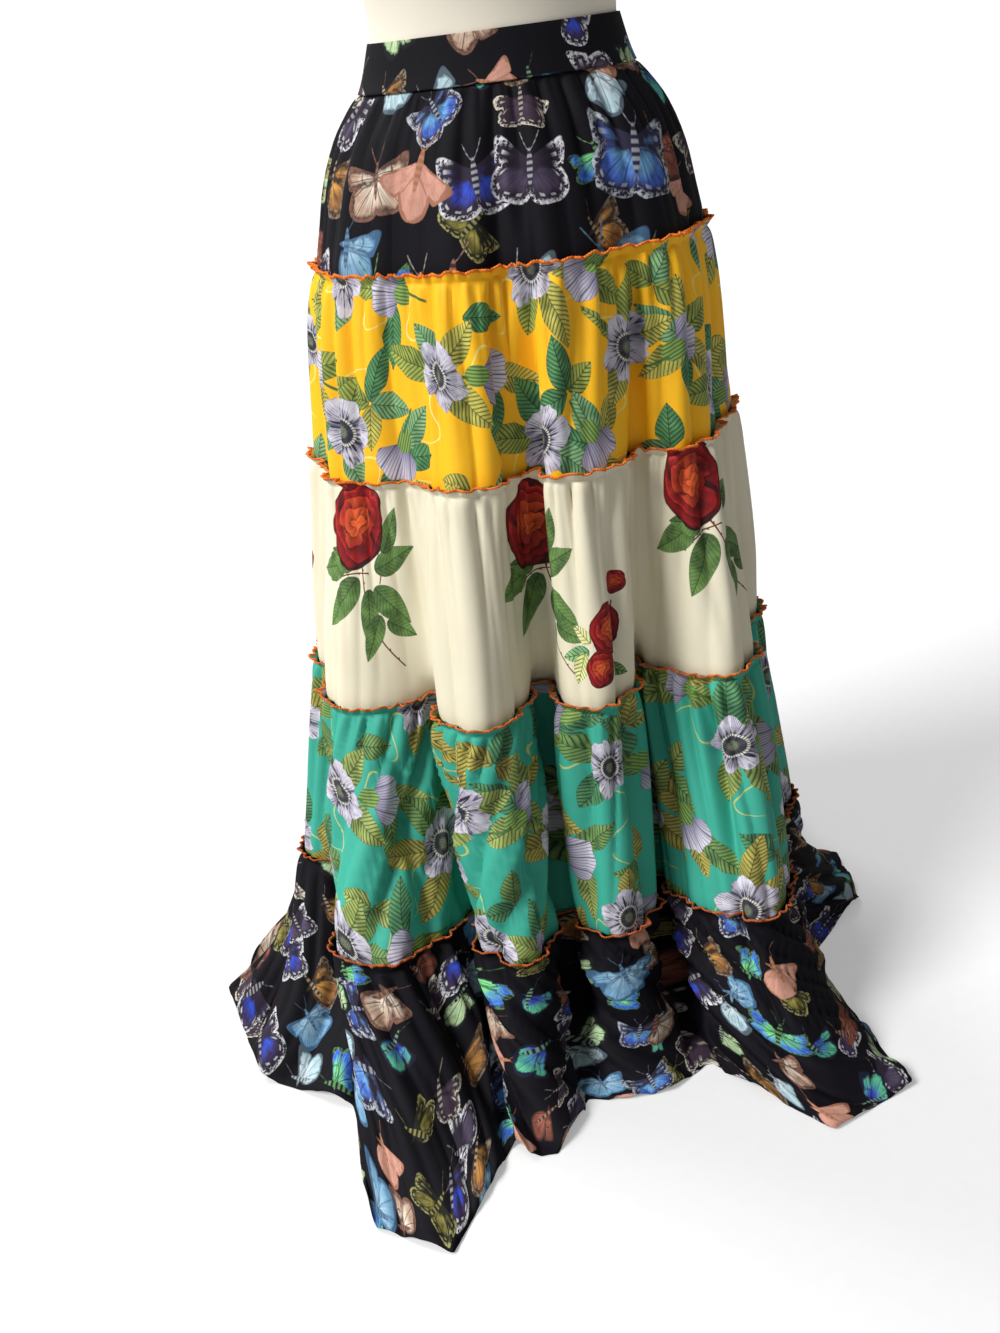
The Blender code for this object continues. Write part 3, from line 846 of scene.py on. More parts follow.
def butterflies(under, u, v, width, height, span, seed, begin=(0.0, 0.0), tilt=3.2,
                singles=0.55, feelers=0.45):
    """Butterflies, moths and single wings, one in each cell, over the colour under."""
    x, y, first, second = bricks(u, v, width, height, seed, begin=begin, kinds=len(WINGS))
    pick = first[0]
    x = x - (first[1] - 0.5) * (width * 0.14)
    y = y - (first[2] - 0.5) * (height * 0.14)
    x, y = turned(x, y, (second[0] - 0.5) * tilt)
    size = (second[1] * 0.34 + 0.80) * span
    x, y = x / size, y / size
    droop, narrow, side = parts(chosen(pick, [(w.droop, w.narrow, w.side) for w in WINGS]))
    side = side.at_least(second[1].ramp(1.0 - singles, 1.01 - singles))
    veins, edge, fringe = parts(chosen(pick, [(w.veins, w.edge, w.fringe) for w in WINGS]))
    ax = abs(x) * (1.0 - side) + (x + 0.44) * side
    mottle = noise(x + second[2] * 40.0, y, 3.4, 3.0) - 0.5
    jag = noise(x + second[2] * 20.0, y, 11.0, 2.0) - 0.5
    px, py = turned(ax, y, droop)
    py = py * (narrow * 0.8 + 1.0)
    fore = (px * 0.56 - (py - 0.07) * 0.83).math("SMOOTH_MIN", 0.70 - px + py * 0.10, 0.34)
    fore = fore.math("SMOOTH_MIN", py + 0.10 - px * 0.10, 0.10) + mottle * 0.03
    lobe = distance((px - 0.33) * 0.92, py + 0.32)
    angle = py.math("ARCTAN2", px)
    hind = (angle * 8.0).sine() * 0.02 + 0.40 - lobe + mottle * 0.04
    inside = fore.at_least(hind)
    reach = distance(px, py)
    colour = blend(wing_colours(pick, "inner"), wing_colours(pick, "middle"),
                   (mottle * 0.9 + reach).ramp(0.20, 0.60))
    margin = wing_colours(pick, "margin")
    spots = wing_colours(pick, "spots")
    breadth = edge * 0.30
    border = (inside + mottle * 0.30 - reach.ramp(0.35, 0.9) * 0.05).ramp(breadth, breadth * 0.5 - 0.01)
    cell = abs(distance(px - 0.2, py - 0.1) - 0.16).ramp(0.022, 0.008)
    vein = (angle.lines(2.2) * reach).ramp(0.065, 0.025).at_least(cell) * veins
    seam = abs(fore).ramp(0.03, 0.006) * hind.ramp(0.0, 0.02)
    colour = blend(colour, margin, vein.at_least(border).at_least(seam * 0.8))
    outer = reach.ramp(0.42, 0.56) * fringe
    patches = (inside + jag * 0.30).ramp(0.10, 0.07) * (jag + 0.6).ramp(0.50, 0.62)
    dashes = abs(inside - 0.15).ramp(0.026, 0.014) * angle.lines(3.4).ramp(0.45, 0.65)
    colour = blend(colour, spots, patches.at_least(dashes * 0.7) * outer * (mottle + 0.95))
    fibres = noise(angle * 16.0, reach * 1.4, 1.0, 2.0, z=second[2] * 9.0)
    colour = blend(colour, margin, fibres.ramp(0.40, 0.75) * 0.55)
    colour = blend(colour, margin, (mottle + jag * 0.5).ramp(0.02, 0.22) * 0.4)
    trunk = distance(x.math("ADD", side * 0.44) / 0.06, (y + 0.08) / 0.34)
    body = trunk.ramp(1.05, 0.9)
    feeler = abs(ax - (y - 0.2).at_least(0.0) ** 0.7 * 0.42).ramp(0.018, 0.008)
    feeler = feeler * y.ramp(0.2, 0.22) * y.ramp(0.54, 0.52) * feelers
    whole = inside.ramp(0.0, 0.016).at_least(body).at_least(feeler)
    body_colour = blend(margin, spots, y.lines(9.0).ramp(0.3, 0.7) * 0.35 + feeler * 0.2)
    colour = blend(colour, body_colour, body.at_least(feeler))
    return blend(under, colour, whole)


def butterfly_print(u, v):
    wide, high = 9.4 * CM, 8.2 * CM
    colour = butterflies(chosen_colour("black"), u, v, wide, high, 3.8 * CM, 3, (0.5, 0.5))
    colour = butterflies(colour, u, v, wide, high, 4.1 * CM, 24, (0.5, 0.0))
    return butterflies(colour, u, v, wide, high, 4.7 * CM, 7)


def large_butterfly_print(u, v):
    """The same cloth where its largest butterflies run, nearly upright and in rows."""
    wide, high = 12.2 * CM, 10.8 * CM
    colour = butterflies(chosen_colour("black"), u, v, wide, high, 5.0 * CM, 6, (0.72, 0.30), 1.8, 0.5)
    colour = butterflies(colour, u, v, wide, high, 5.8 * CM, 14, (0.72, 0.80), 0.7, 0.0, 0.8)
    return butterflies(colour, u, v, wide, high, 6.4 * CM, 7, (0.22, 0.80), 0.5, 0.0, 0.8)


# ---------------------------------------------------------------- flower prints
FOLIAGE = "dark light"
GREENS_ON_YELLOW = table(FOLIAGE, (
    ((28, 74, 46), (92, 152, 96)),
    ((52, 78, 34), (170, 182, 84)),
    ((38, 94, 64), (140, 184, 128)),
    ((72, 84, 34), (204, 196, 92)),
))
GREENS_ON_TURQUOISE = table(FOLIAGE, (
    ((30, 68, 44), (124, 160, 90)),
    ((74, 74, 34), (190, 178, 88)),
    ((22, 62, 46), (88, 146, 98)),
    ((52, 76, 36), (164, 180, 98)),
))


def leaf(under, along, across, start, length, width, dark, light, veined=1.0):
    """A pointed leaf with a midrib and slanting veins; along and across are in metres."""
    t = (along - start) / length
    t = t.at_least(0.0).at_most(1.0)
    saw = ((along / (2.6 * MM)).fraction() - 0.5) * (0.5 * MM)
    half = (t ** 0.62) * (1.0 - t) * (width * 1.45) + saw * t.ramp(0.0, 0.1) * t.ramp(1.0, 0.9)
    rim = half - abs(across)
    inside = rim.ramp(0.0, 0.5 * MM) * t.ramp(0.0, 0.02)
    slant = along - abs(across) * 0.9
    patch = noise(along, across, 60.0, 3.0)
    vein = ((slant + patch * (4.0 * MM)) / (5.0 * MM)).lines(1.0)
    tone = across.ramp(-0.8 * MM, 0.8 * MM) * 0.25 + t * 0.45 + (patch - 0.5) * 1.5
    colour = blend(dark, light, tone + vein.ramp(0.3, 1.0) * (0.35 * veined) + 0.12)
    ink = vein.ramp(0.34, 0.12) * (patch.ramp(0.35, 0.6) * 0.45 + 0.45) * veined
    ink = ink.at_least(abs(across).ramp(0.7 * MM, 0.2 * MM) * 0.8)
    ink = ink.at_least(rim.ramp(0.8 * MM, 0.2 * MM) * 0.8)
    colour = blend(colour, srgb(24, 36, 26), ink)
    return blend(under, colour, inside)


def rosette(under, x, y, first, second, start, length, width, greens, sectors=6.0):
    """Leaves round a centre, some of them missing."""
    turn = turn_of(x, y) + first[0] + 2.0
    sector_at = turn.fraction() * sectors
    sector = sector_at.floor()
    odd = randoms(sector, first[1] * 57.0, second[0] * 31.0)
    reach = distance(x, y)
    local = (sector_at - sector - 0.5 + (odd[2] - 0.5) * 0.3) * (2 * math.pi / sectors)
    bend = reach * (odd[2] - 0.5) * 9.0
    local = local + bend * 0.6
    along, across = reach * local.math("COSINE"), reach * local.sine()
    dark = chosen(odd[1], [srgb(*green.dark) for green in greens])
    light = chosen(odd[1], [srgb(*green.light) for green in greens])
    drawn = odd[0].ramp(0.70, 0.68)
    return leaf(under, along, across, start, (odd[2] * 0.5 + 0.62) * length,
                drawn * width, dark, light)


def tendrils(under, x, y, first, reach_to, colour):
    """Thin curling stems that leave a centre."""
    reach = distance(x, y)
    turn = turn_of(x, y) + first[2]
    curl = turn + (reach * 95.0 + first[1] * 6.0).sine() * 0.05
    line = (curl.lines(3.0) - 1.0) * -1.0 * reach
    thin = line.ramp(1.5 * MM, 0.6 * MM) * reach.ramp(reach_to, reach_to * 0.96)
    return blend(under, colour, thin)


def flower(under, x, y, first, second, radius):
    """An open five-petalled flower with etched lines and a dark fringed centre."""
    x, y = turned(x, y, second[2] * 6.0)
    y = y / (first[2] * 0.36 + 0.64)
    reach = distance(x, y)
    turn = turn_of(x, y) + second[1] + 2.0
    petal = (turn * 5.0).fraction()
    away = abs(petal - 0.5) * 2.0
    wobble = noise(turn * 3.0, second[2] * 20.0, 3.0, 2.0) - 0.5
    ripple = noise(turn * 34.0, second[2] * 30.0, 1.0, 1.0)
    rim = (0.98 - (away ** 2.6) * 0.26 + wobble * 0.62 + (ripple - 0.5) * 0.16) * radius
    share = reach / radius
    inside = (rim - reach).ramp(0.0, 0.5 * MM)
    patch = noise(x, y, 70.0, 3.0, z=second[2] * 30.0)
    cupped = away * 0.35 + share.ramp(0.95, 0.25) * 0.4 + (petal - 0.5) * 0.3 + (patch - 0.5) * 1.6
    colour = blend(srgb(214, 210, 222), srgb(112, 106, 132), cupped)
    etched = (turn * 5.0 + wobble * 2.2 + share * 0.12).lines(9.0).ramp(0.55, 0.85)
    scratch = (share * 3.0 + patch * 3.0).lines(2.0).ramp(0.86, 0.97) * 0.6
    ink = etched * (share.ramp(1.05, 0.35) * 0.8 + patch.ramp(0.42, 0.6) * 0.8)
    ink = ink.at_least(away.ramp(0.86, 0.97)).at_least((rim - reach).ramp(1.1 * MM, 0.3 * MM) * 0.8)
    ink = ink.at_least(scratch * patch.ramp(0.5, 0.6))
    colour = blend(colour, srgb(34, 34, 50), ink * 0.85)
    spikes = turn.lines(23.0) * 0.20 + ripple * 0.26
    colour = blend(colour, srgb(28, 28, 40), (share - spikes).ramp(0.27, 0.16) * 0.92)
    dots = turn.lines(31.0).ramp(0.2, 0.5) * abs(share - 0.36).ramp(0.05, 0.02)
    colour = blend(colour, srgb(206, 206, 190), dots)
    stipple = noise(x, y, 900.0, 1.0).ramp(0.4, 0.6)
    disc = blend(srgb(60, 70, 54), srgb(136, 146, 116), stipple)
    colour = blend(colour, disc, share.ramp(0.20, 0.12) * 0.85)
    return blend(under, colour, inside)


def bud(under, x, y, second, radius):
    """A flower seen from the side: a fan of petals over a green cup."""
    x, y = turned(x, y, (second[0] - 0.5) * 4.0)
    x, y = x / radius, y / radius
    fan = 0.86 - distance(x, (y - 0.1) * 1.25)
    scallop = (x * 9.0).sine() * 0.05
    rim = (fan + scallop).at_most(y + 0.55 - abs(x) * 0.5)
    inside = rim.ramp(0.0, 0.03)
    spread = x / (y + 1.4)
    etched = spread.lines(15.0).ramp(0.6, 0.95) * 0.8
    petals = spread.lines(3.2).ramp(0.86, 0.97)
    colour = blend(srgb(120, 114, 146), srgb(214, 210, 224), y.ramp(-0.4, 0.6))
    ink = etched.at_least(petals).at_least(rim.ramp(0.05, 0.015) * 0.8)
    colour = blend(colour, srgb(36, 36, 54), ink * 0.85)
    cup = 0.36 - distance(x, (y + 0.62) * 0.8)
    cup_colour = blend(srgb(52, 92, 48), srgb(140, 168, 84), x.lines(9.0))
    colour = blend(blend(under, colour, inside), cup_colour, cup.ramp(0.0, 0.04))
    stem = abs(x + (y * 2.0).sine() * 0.1).ramp(0.06, 0.03) * y.ramp(-0.85, -0.9) * y.ramp(-1.9, -1.8)
    return blend(colour, srgb(70, 104, 52), stem)


def flower_print(u, v, ground, ground_shade, greens, line_colour):
    """Clusters of flowers and leaves with plain ground between them."""
    wide, high = 13.4 * CM, 16.0 * CM
    stain = noise(u, v, 14.0, 2.0)
    colour = blend(ground, ground_shade, stain.ramp(0.45, 0.75) * 0.35)
    y, x, first, second = bricks(v, u, high, wide, 5, begin=(0.05, 0.25))
    y2, x2, first2, second2 = bricks(v, u, high, wide, 12, begin=(0.45, 0.72))
    x = x - (first[0] - 0.5) * (2.0 * CM)
    y = y - (first[1] - 0.5) * (2.4 * CM)
    colour = tendrils(colour, x, y, first, 8.0 * CM, line_colour)
    y3, x3, first3, second3 = bricks(v, u, high, wide, 30, begin=(0.80, 0.95))
    colour = rosette(colour, x3, y3, first3, second3, 0.1 * CM, 5.6 * CM, 2.8 * CM, greens, 4.0)
    colour = rosette(colour, x2, y2, first2, second2, 0.8 * CM, 6.4 * CM, 3.0 * CM, greens)
    colour = rosette(colour, x, y, second, first, 1.4 * CM, 6.6 * CM, 3.2 * CM, greens, 5.0)
    colour = bud(colour, x2, y2, second2, 3.0 * CM)
    return flower(colour, x, y, first, second, second[0] * (1.2 * CM) + 3.1 * CM)


def yellow_print(u, v):
    return flower_print(u, v, chosen_colour("yellow"), srgb(238, 160, 14), GREENS_ON_YELLOW,
                        srgb(232, 222, 130))


def turquoise_print(u, v):
    return flower_print(u, v, chosen_colour("turquoise"), srgb(42, 140, 122),
                        GREENS_ON_TURQUOISE, srgb(186, 190, 108))


# ---------------------------------------------------------------- rose print
# Leaves and stems of the spray under a rose: place from the rose's middle in cm, turn in
# degrees.  The last stem is the small roses'.
FROND = "x y turn length width"
SPRAY = table(FROND, (
    (-0.8, -4.2, 202, 6.4, 3.2),
    (1.0, -5.4, 238, 7.2, 3.3),
    (2.6, -6.4, 280, 6.4, 2.4),
    (3.4, -6.2, 322, 6.0, 3.1),
    (3.2, -4.4, 28, 5.6, 2.9),
    (4.2, -2.6, 72, 5.2, 2.5),
    (0.4, -4.4, 168, 4.6, 2.6),
    (4.4, -9.0, 258, 5.2, 2.2),
    (5.2, -9.6, 336, 4.0, 2.1),
))
# The sprig beside the small roses, and its leaves' colours; the last leaf has the spray's.
SPRIG = table(FROND, (
    (-1.6, -0.4, 196, 3.4, 1.8),
    (-2.2, -0.6, 250, 3.6, 2.0),
    (-1.4, 0.4, 140, 2.8, 1.6),
    (1.6, -2.8, 330, 2.8, 1.5),
))
SPRIG_TONES = (
    (srgb(74, 132, 92), srgb(150, 196, 130)),
    (srgb(176, 190, 96), srgb(232, 232, 168)),
    (srgb(186, 194, 110), srgb(236, 232, 176)),
)
STEMS = table("x y turn length bend", (
    (1.2, -3.2, 298, 13.0, 1.1),
    (2.2, -1.2, 292, 5.0, -0.8),
    (3.0, 3.6, 262, 6.2, 0.5),
    (2.4, -4.8, 200, 5.5, 0.5),
    (0.4, -0.5, 60, 5.0, 0.5),
))


def placed(x, y, item):
    """Along and across for an item of a spray, in metres."""
    turn = math.radians(item.turn)
    return turned(x - item.x * CM, y - item.y * CM, -turn)


def frond(under, x, y, item, *looks):
    """A leaf of a spray; its looks are its dark and light colours and how veined it is."""
    along, across = placed(x, y, item)
    return leaf(under, along, across, 0.0, item.length * CM, item.width * CM, *looks)


def rose(under, x, y, odd, radius):
    """A full rose: rings of petals, dark in the gaps, with a glowing heart."""
    x, y = x / radius, y / radius
    warp = noise(x + odd * 13.0, y, 1.6, 2.0) - 0.5
    warp_2 = noise(x, y + odd * 17.0, 1.6, 2.0, z=5.0) - 0.5
    wx, wy = x + warp * 0.42, y * 0.92 + warp_2 * 0.42
    reach = distance(wx, wy)
    turn = turn_of(wx, wy) + odd + 2.0
    rim = (turn * (10 * math.pi)).sine() * 0.04 + 0.98 - distance(x + warp * 0.18, y * 0.88)
    rim = rim + warp_2 * 0.12
    inside = rim.ramp(0.0, 0.02)
    ring_at = reach * 4.2 + (turn * (6 * math.pi)).sine() * 0.30 + turn.fraction() + warp * 1.6
    ring = ring_at.floor()
    lip = ring_at - ring
    gap = (turn + ring * 0.137 + lip * 0.05).lines(2.0).ramp(0.88, 0.99) * reach.ramp(0.2, 0.4)
    streak = noise(turn * 40.0, reach, 1.0, 2.0)
    shade = lip.ramp(0.0, 0.9) * 0.62 + streak * 0.55 - gap * 0.5
    shade = shade * rim.ramp(-0.02, 0.14) - (x * 0.5 - y).ramp(-0.2, 1.2) * 0.25
    colour = blend(srgb(48, 6, 12), srgb(168, 22, 24), shade)
    colour = blend(colour, srgb(214, 58, 46), shade.ramp(0.72, 1.05) * 0.8)
    heart = distance(x + warp * 0.8, y - 0.06 + warp_2 * 0.8).ramp(0.66, 0.05)
    glow = heart * (shade + streak * 0.4).ramp(0.30, 0.95)
    colour = blend(colour, srgb(240, 108, 46), glow * 0.9)
    return blend(under, colour, inside)


def stem(under, x, y, item, colour):
    along, across = placed(x, y, item)
    t = along / (item.length * CM)
    bowed = across + (t * math.pi).sine() * (item.bend * CM)
    thorn = (along / (1.3 * CM)).fraction()
    prick = (1.0 - thorn.ramp(0.0, 0.2)) * (1.6 * MM)
    width = bowed.ramp(-0.1 * MM, 0.1 * MM) * prick + 0.9 * MM
    inside = (width - abs(bowed)).ramp(0.0, 0.3 * MM) * t.ramp(0.0, 0.01) * t.ramp(1.0, 0.99)
    return blend(under, colour, inside)


def rose_print(u, v):
    """A row of large roses with leafy stems, and small dark roses with a sprig below."""
    stain = noise(u, v, 9.0, 2.0)
    colour = blend(chosen_colour("ivory"), srgb(210, 200, 172), stain.ramp(0.4, 0.7) * 0.5)
    x, y, first, second = bricks(u, v - 34.0 * CM, 32.0 * CM, 60.0 * CM, 4, 0.0,
                                (-0.17, 0.0))
    y = y - (first[1] - 0.5) * (2.4 * CM)
    mirror = first[0].ramp(0.49, 0.51) * 2.0 - 1.0
    x = (x - (first[2] - 0.5) * (1.8 * CM)) * mirror
    x, y = turned(x, y, (second[0] - 0.5) * 0.35)
    dark, light = srgb(24, 46, 28), srgb(118, 156, 82)
    *stems, sprig_stem = STEMS
    for item in stems:
        colour = stem(colour, x, y, item, srgb(104, 52, 34))
    for item in SPRAY:
        colour = frond(colour, x, y, item, dark, light, 0.35)
    colour = rose(colour, x, y, second[1], 4.3 * CM)
    a, b, odds, _ = bricks(u, v - 46.5 * CM, 64.0 * CM, 60.0 * CM, 4, 0.0,
                                (0.50, 0.0))
    colour = stem(colour, a, b, sprig_stem, srgb(120, 70, 44))
    for item, tones in zip(SPRIG, (*SPRIG_TONES, (dark, light))):
        colour = frond(colour, a, b, item, *tones)
    colour = rose(colour, a - 1.0 * CM, b - 1.4 * CM, odds[0], 2.5 * CM)
    colour = rose(colour, a + 0.4 * CM, b + 2.4 * CM, odds[1], 1.8 * CM)
    return rose(colour, a - 3.2 * CM, b - 5.6 * CM, odds[2], 1.1 * CM)


# ---------------------------------------------------------------- cloth materials
def flat_map(tree):
    """Across and down the flat cloth, in metres."""
    node = tree.nodes.new("ShaderNodeUVMap")
    node.uv_map = "cloth"
    return parts(Term(node.outputs["UV"]))[:2]


def printed_cloth(name, draw, roughness, specular, grain):
    """A printed cloth: its print, a fine woven grain and soft handling creases."""
    material, tree, shader = new_material(name, roughness)
    shader.inputs["Specular IOR Level"].default_value = specular
    u, v = flat_map(tree)
    plug(shader.inputs["Base Color"], draw(u, v))
    weave = noise(u * 0.45, v, 2600.0, 1.0) + noise(u, v * 0.45, 2600.0, 1.0)
    crease = noise(u, v * 0.6, 34.0, 3.0)
    height = weave * (grain * MM) + crease * (1.6 * MM)
    bump = tree.nodes.new("ShaderNodeBump")
    for entry, value in (("Distance", 1.0), ("Strength", 0.55), ("Height", height)):
        plug(bump.inputs[entry], value)
    plug(shader.inputs["Normal"], bump.outputs["Normal"])
    return material


PRINTS = {
    "butterfly_cloth": (butterfly_print, 0.75, 0.14, 0.10),
    "butterfly_cloth_large": (large_butterfly_print, 0.75, 0.14, 0.10),
    "yellow_floral_cloth": (yellow_print, 0.66, 0.3, 0.12),
    "ivory_rose_cloth": (rose_print, 0.70, 0.3, 0.14),
    "turquoise_floral_cloth": (turquoise_print, 0.66, 0.3, 0.12),
}


def cloth_material(slot):
    """The cloth of a slot, made once and shared by every piece cut from it."""
    name = slot + "_print"
    return bpy.data.materials.get(name) or printed_cloth(name, *PRINTS[slot])


# ---------------------------------------------------------------- other materials
def object_place(tree):
    """X, Y and Z in the object's own space, in metres."""
    return parts(Term(tree.nodes.new("ShaderNodeTexCoord").outputs["Object"]))


def thread_material(seam, browned):
    """Overlock thread: slanting wraps, with painted shade between them and a painted highlight on their
    crowns; browned is from 0 to 1.
    """
    material, tree, shader = new_material(f"thread_{seam}", 0.7)
    shader.inputs["Specular IOR Level"].default_value = 0.2
    u, v = flat_map(tree)
    # Painted light on the wraps: 0 in the painted shade between them, 1 on their crowns with a painted
    # highlight.
    painted_crown_light = (u / (1.45 * MM) + v * 2.0).lines(1.0)
    worn = noise(u, v, 38.0, 2.0)
    # The first colour of each blend is the thread in painted shade between the wraps.
    colour = blend(srgb(186, 80, 28), chosen_colour("thread"), painted_crown_light.ramp(0.05, 0.6))
    brown = blend(srgb(96, 40, 18), srgb(188, 96, 48), painted_crown_light.ramp(0.05, 0.6))
    colour = blend(colour, brown, (worn + (browned - 0.5) * 0.5).ramp(0.42, 0.62))
    plug(shader.inputs["Base Color"], colour)
    return material


def jersey_material():
    """Fine-knit jersey over the form."""
    material, tree, shader = new_material("jersey", 0.85)
    x, y, z = object_place(tree)
    turn = y.math("ARCTAN2", x)
    knit = turn.lines(110.0) * (z / (1.1 * MM)).lines(1.0)
    cloud = noise(x, y, 9.0, 2.0, z=z)
    colour = blend(srgb(226, 218, 200), chosen_colour("jersey"), knit * 0.5 + cloud * 0.5)
    plug(shader.inputs["Base Color"], colour)
    return material


def steel_material():
    """Brushed steel, brushed round the pole and the base."""
    material, tree, shader = new_material("brushed_steel", 0.35, metallic=1.0)
    x, y, z = object_place(tree)
    brush = noise(distance(x, y) * 8.0, z * 8.0, 240.0, 3.0)
    plug(shader.inputs["Base Color"], blend(srgb(168, 168, 166), srgb(204, 204, 202), brush))
    plug(shader.inputs["Roughness"], brush * 0.25 + 0.25)
    return material


def paper_material():
    """White paper, lit a little from below, that throws back less light than it shows."""
    material, tree, shader = new_material("floor_paper", 0.95)
    shader.inputs["Specular IOR Level"].default_value = 0.0
    shader.inputs["Emission Strength"].default_value = 1.0
    x, y, _ = object_place(tree)
    fibre = noise(x, y, 60.0, 3.0)
    seen = Term(tree.nodes.new("ShaderNodeLightPath").outputs["Is Camera Ray"])
    white = blend(grey(0.57), grey(0.60), fibre)
    plug(shader.inputs["Base Color"], blend(grey(0.38), white, seen))
    plug(shader.inputs["Emission Color"], blend(grey(0.0), grey(0.30), seen))
    return material


# ---------------------------------------------------------------- stage
FLOOR_SIZE = 600.0
SKY_STRENGTH = 0.24
Sun = namedtuple("Sun", "energy way")
SUNS = {"key": Sun(3.8, (2.6, 1.5, -2.5)), "fill": Sun(1.7, (1.3, -1.7, -1.9))}
SUN_ANGLE = math.radians(26)
LENS, FILM_WIDTH = 40.5, 36.0
CAMERA_PLACE = (-0.048, -1.567, 1.028)
CAMERA_TILT, CAMERA_ROLL = math.radians(90 - 23.5), math.radians(-5.1)


def place(name, data, matrix):
    """A light's or a camera's object, at its place in the scene."""
    made = bpy.data.objects.new(name, data)
    made.matrix_world = matrix
    bpy.context.scene.collection.objects.link(made)
    return made


def studio_world():
    """Soft white light from all round, in front of a white backdrop."""
    world = bpy.data.worlds.new("studio")
    world.use_nodes = True
    nodes = world.node_tree.nodes
    light = nodes["Background"]
    paper = nodes.new("ShaderNodeBackground")
    seen = nodes.new("ShaderNodeLightPath").outputs["Is Camera Ray"]
    either = nodes.new("ShaderNodeMixShader")
    light.inputs["Strength"].default_value = SKY_STRENGTH
    for background in (light, paper):
        background.inputs["Color"].default_value = (1, 1, 1, 1)
    for entry, socket in zip(either.inputs, (seen, light.outputs[0], paper.outputs[0])):
        plug(entry, socket)
    plug(nodes["World Output"].inputs["Surface"], either.outputs[0])
    return world


# ---------------------------------------------------------------- the add-on
def size_property(name, description, default, low, high):
    return FloatProperty(name=name, description=description, default=default, min=low, max=high)


def colour_property(name, default):
    return FloatVectorProperty(name=name, subtype="COLOR", default=default, min=0.0, max=1.0)


class SkirtSizes(bpy.types.PropertyGroup):
    """Sizes of the cloth's finish."""
    cloth_wall: size_property("Cloth", "Thickness of the tiers' cloth, in mm", 0.8, 0.3, 2.0)
    gather_depth: size_property("Gathers", "Depth of the gathers, as a share", 1.0, 0.0, 2.0)
    header_flare: size_property("Header flare", "How far headers lean out, in mm", 3.2, 0.0, 10.0)
    header_ripple: size_property("Header ripple", "Depth of header ruffles, in mm", 8.0, 0.0, 20.0)
    thread_height: size_property("Thread height", "Overlock height, in mm", 3.4, 1.0, 8.0)
    thread_thickness: size_property("Thread thickness", "Overlock thickness, in mm", 1.9, 0.5, 4.0)


class SkirtColours(bpy.types.PropertyGroup):
    """Ground colours of the cloths, and the colours of the thread and the form."""
    black: colour_property("Butterfly cloth", (0.0034, 0.0026, 0.0050))
    yellow: colour_property("Yellow floral cloth", srgb(250, 188, 26))
    ivory: colour_property("Rose cloth", srgb(226, 219, 194))
    turquoise: colour_property("Turquoise floral cloth", srgb(58, 164, 142))
    thread: colour_property("Overlock thread", srgb(255, 138, 48))
    jersey: colour_property("Form jersey", srgb(238, 231, 216))


class SKIRT_OT_waistband(bpy.types.Operator):
    """Make the waistband"""
    bl_idname = "skirt.waistband"
    bl_label = "Waistband"

    def execute(self, context):
        material = cloth_material("butterfly_cloth")
        lap = (BAND_WALL + LAP_GAP) / 2
        levels = np.linspace(WAIST_TOP, WAIST_SEAM, BAND_ROWS)
        places, split = even_places(lambda at: rings([WAIST_TOP], at)[0], BAND_COLUMN_SPACING)
        base = rings(levels, places)
        offset = np.clip((WAIST_TOP - levels) / (WAIST_TOP - WAIST_SEAM), 0.0, 1.0) * lap
        us = across_cut(BAND_CUT_FRONT, BAND_CUT_BACK, split, len(places))
        offset = offset[:, None] + side_seam_dip(us, split)
        points = base + outward_normals(base) * offset[:, :, None]
        made = panel_pieces("waistband", points, us, WAIST_TOP - levels, split, BAND_WALL,
                            material, BAND_RIM)
        return {"FINISHED"}


class SKIRT_OT_tiers(bpy.types.Operator):
    """Make the five gathered tiers and the thread on their headers"""
    bl_idname = "skirt.tiers"
    bl_label = "Tiers"

    def execute(self, context):
        sizes = context.scene.skirt_sizes
        for number, tier in enumerate(TIERS, 1):
            print_name = tier.slot + ("_large" if number == 1 else "")
            points, us, vs, split = tier_surface(tier, sizes)
            made = panel_pieces(tier.name, points, us, vs, split, sizes.cloth_wall * MM,
                                cloth_material(print_name))
            thread = []
            if number > 1:
                browned = THREAD_BROWNED[number - 2]
                thread = [thread_along(f"overlock_{number}", points,
                                       thread_material(number, browned), sizes)]
                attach(thread[0], "root")
        return {"FINISHED"}


class SKIRT_OT_form(bpy.types.Operator):
    """Make the dress form's smooth torso and finish its pole and base"""
    bl_idname = "skirt.form"
    bl_label = "Dress form"

    def execute(self, context):
        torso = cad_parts["form_torso"].copy()
        torso.data = torso.data.copy()
        torso.name = torso.data.name = "form_torso_jersey"
        torso.data.materials.clear()
        torso.data.materials.append(jersey_material())
        bpy.context.scene.collection.objects.link(torso)
        modify(torso, "WELD", merge_threshold=0.05 * MM)
        join_facets(torso.data)
        modify(torso, "SUBSURF", levels=2, render_levels=2)
        torso.data.shade_smooth()
        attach(torso, "root")
        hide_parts("form_torso")
        metal = steel_material()
        for node in ("form_pole", "form_base"):
            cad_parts[node].material_slots[0].material = metal
        return {"FINISHED"}


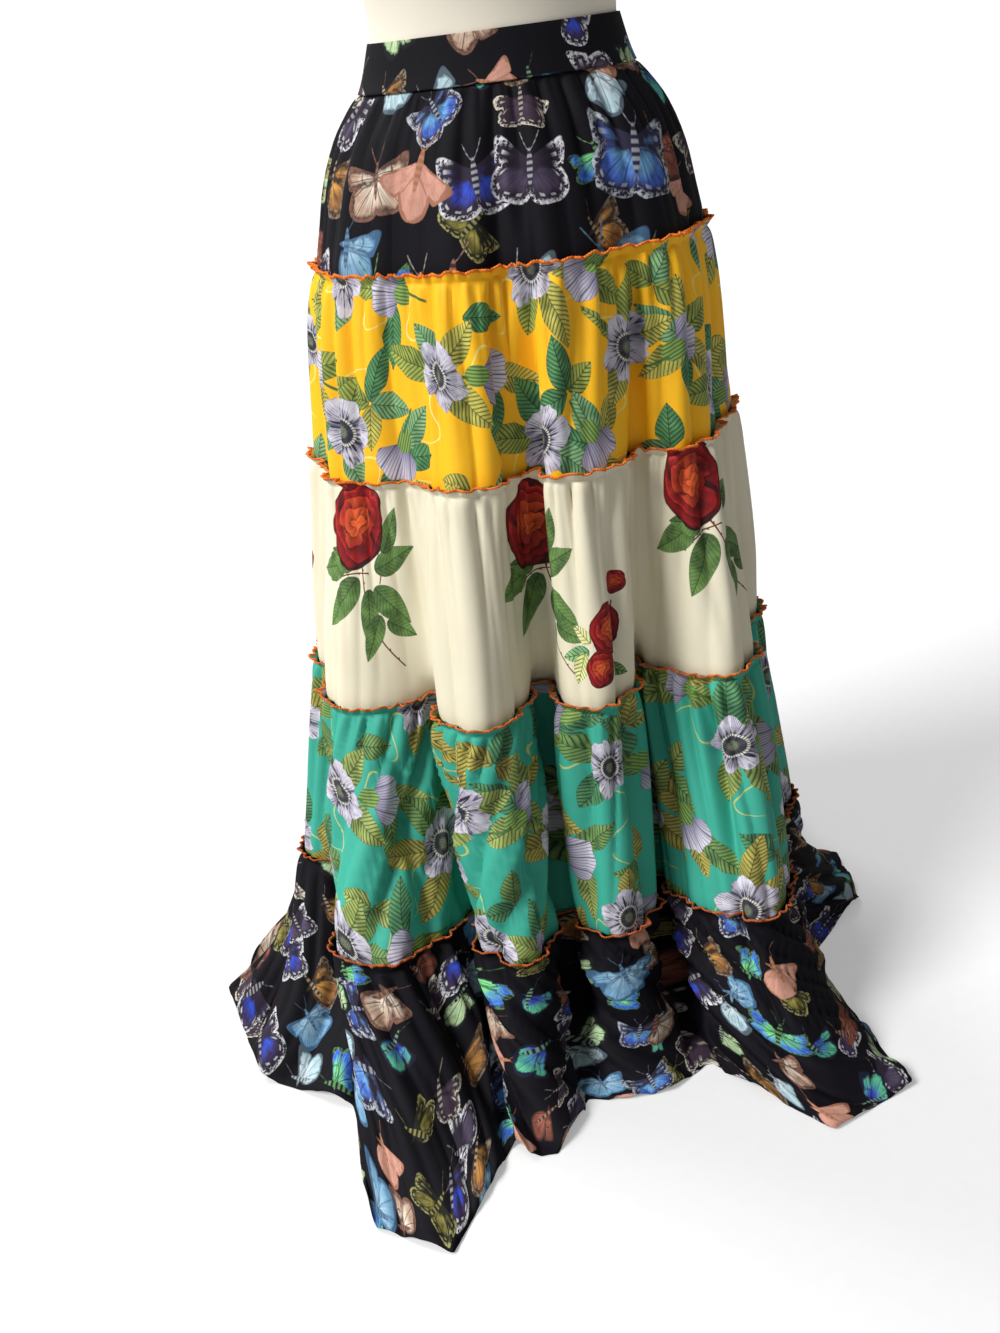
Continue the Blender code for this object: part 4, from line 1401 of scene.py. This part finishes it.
class SKIRT_OT_stage(bpy.types.Operator):
    """Make the floor, the lights and the camera"""
    bl_idname = "skirt.stage"
    bl_label = "Stage"

    def execute(self, context):
        bpy.ops.mesh.primitive_plane_add(size=FLOOR_SIZE)
        floor = context.object
        floor.name = "floor"
        floor.data.materials.append(paper_material())
        context.scene.world = studio_world()
        for name, sun in SUNS.items():
            light = bpy.data.lights.new(name, "SUN")
            light.energy = sun.energy
            light.angle = SUN_ANGLE
            place(name, light, Vector(sun.way).to_track_quat("-Z", "Y").to_matrix().to_4x4())
        context.scene.view_settings.view_transform = "Standard"
        lens = bpy.data.cameras.new("camera")
        lens.lens, lens.sensor_width = LENS, FILM_WIDTH
        turn = Matrix.Rotation(CAMERA_TILT, 4, "X") @ Matrix.Rotation(CAMERA_ROLL, 4, "Z")
        context.scene.camera = place("camera", lens, Matrix.Translation(CAMERA_PLACE) @ turn)
        return {"FINISHED"}


class SKIRT_PT_panel(bpy.types.Panel):
    bl_idname = "SKIRT_PT_panel"
    bl_label = "Tiered ruffle skirt"
    bl_space_type = "VIEW_3D"
    bl_region_type = "UI"
    bl_category = "Skirt"

    def draw(self, context):
        for group in (context.scene.skirt_sizes, context.scene.skirt_colours):
            for name in group.bl_rna.properties.keys():
                if name not in {"name", "rna_type"}:
                    self.layout.prop(group, name)
        for operator in OPERATORS:
            self.layout.operator(operator.bl_idname)


OPERATORS = (SKIRT_OT_waistband, SKIRT_OT_tiers, SKIRT_OT_form, SKIRT_OT_stage)
CLASSES = (SkirtSizes, SkirtColours, *OPERATORS, SKIRT_PT_panel)


def register():
    for cls in CLASSES:
        bpy.utils.register_class(cls)
    bpy.types.Scene.skirt_sizes = PointerProperty(type=SkirtSizes)
    bpy.types.Scene.skirt_colours = PointerProperty(type=SkirtColours)


def unregister():
    del bpy.types.Scene.skirt_sizes, bpy.types.Scene.skirt_colours
    for cls in reversed(CLASSES):
        bpy.utils.unregister_class(cls)


def main():
    register()
    bpy.ops.skirt.waistband()
    bpy.ops.skirt.tiers()
    bpy.ops.skirt.form()
    bpy.ops.skirt.stage()


if __name__ == "__main__":
    main()
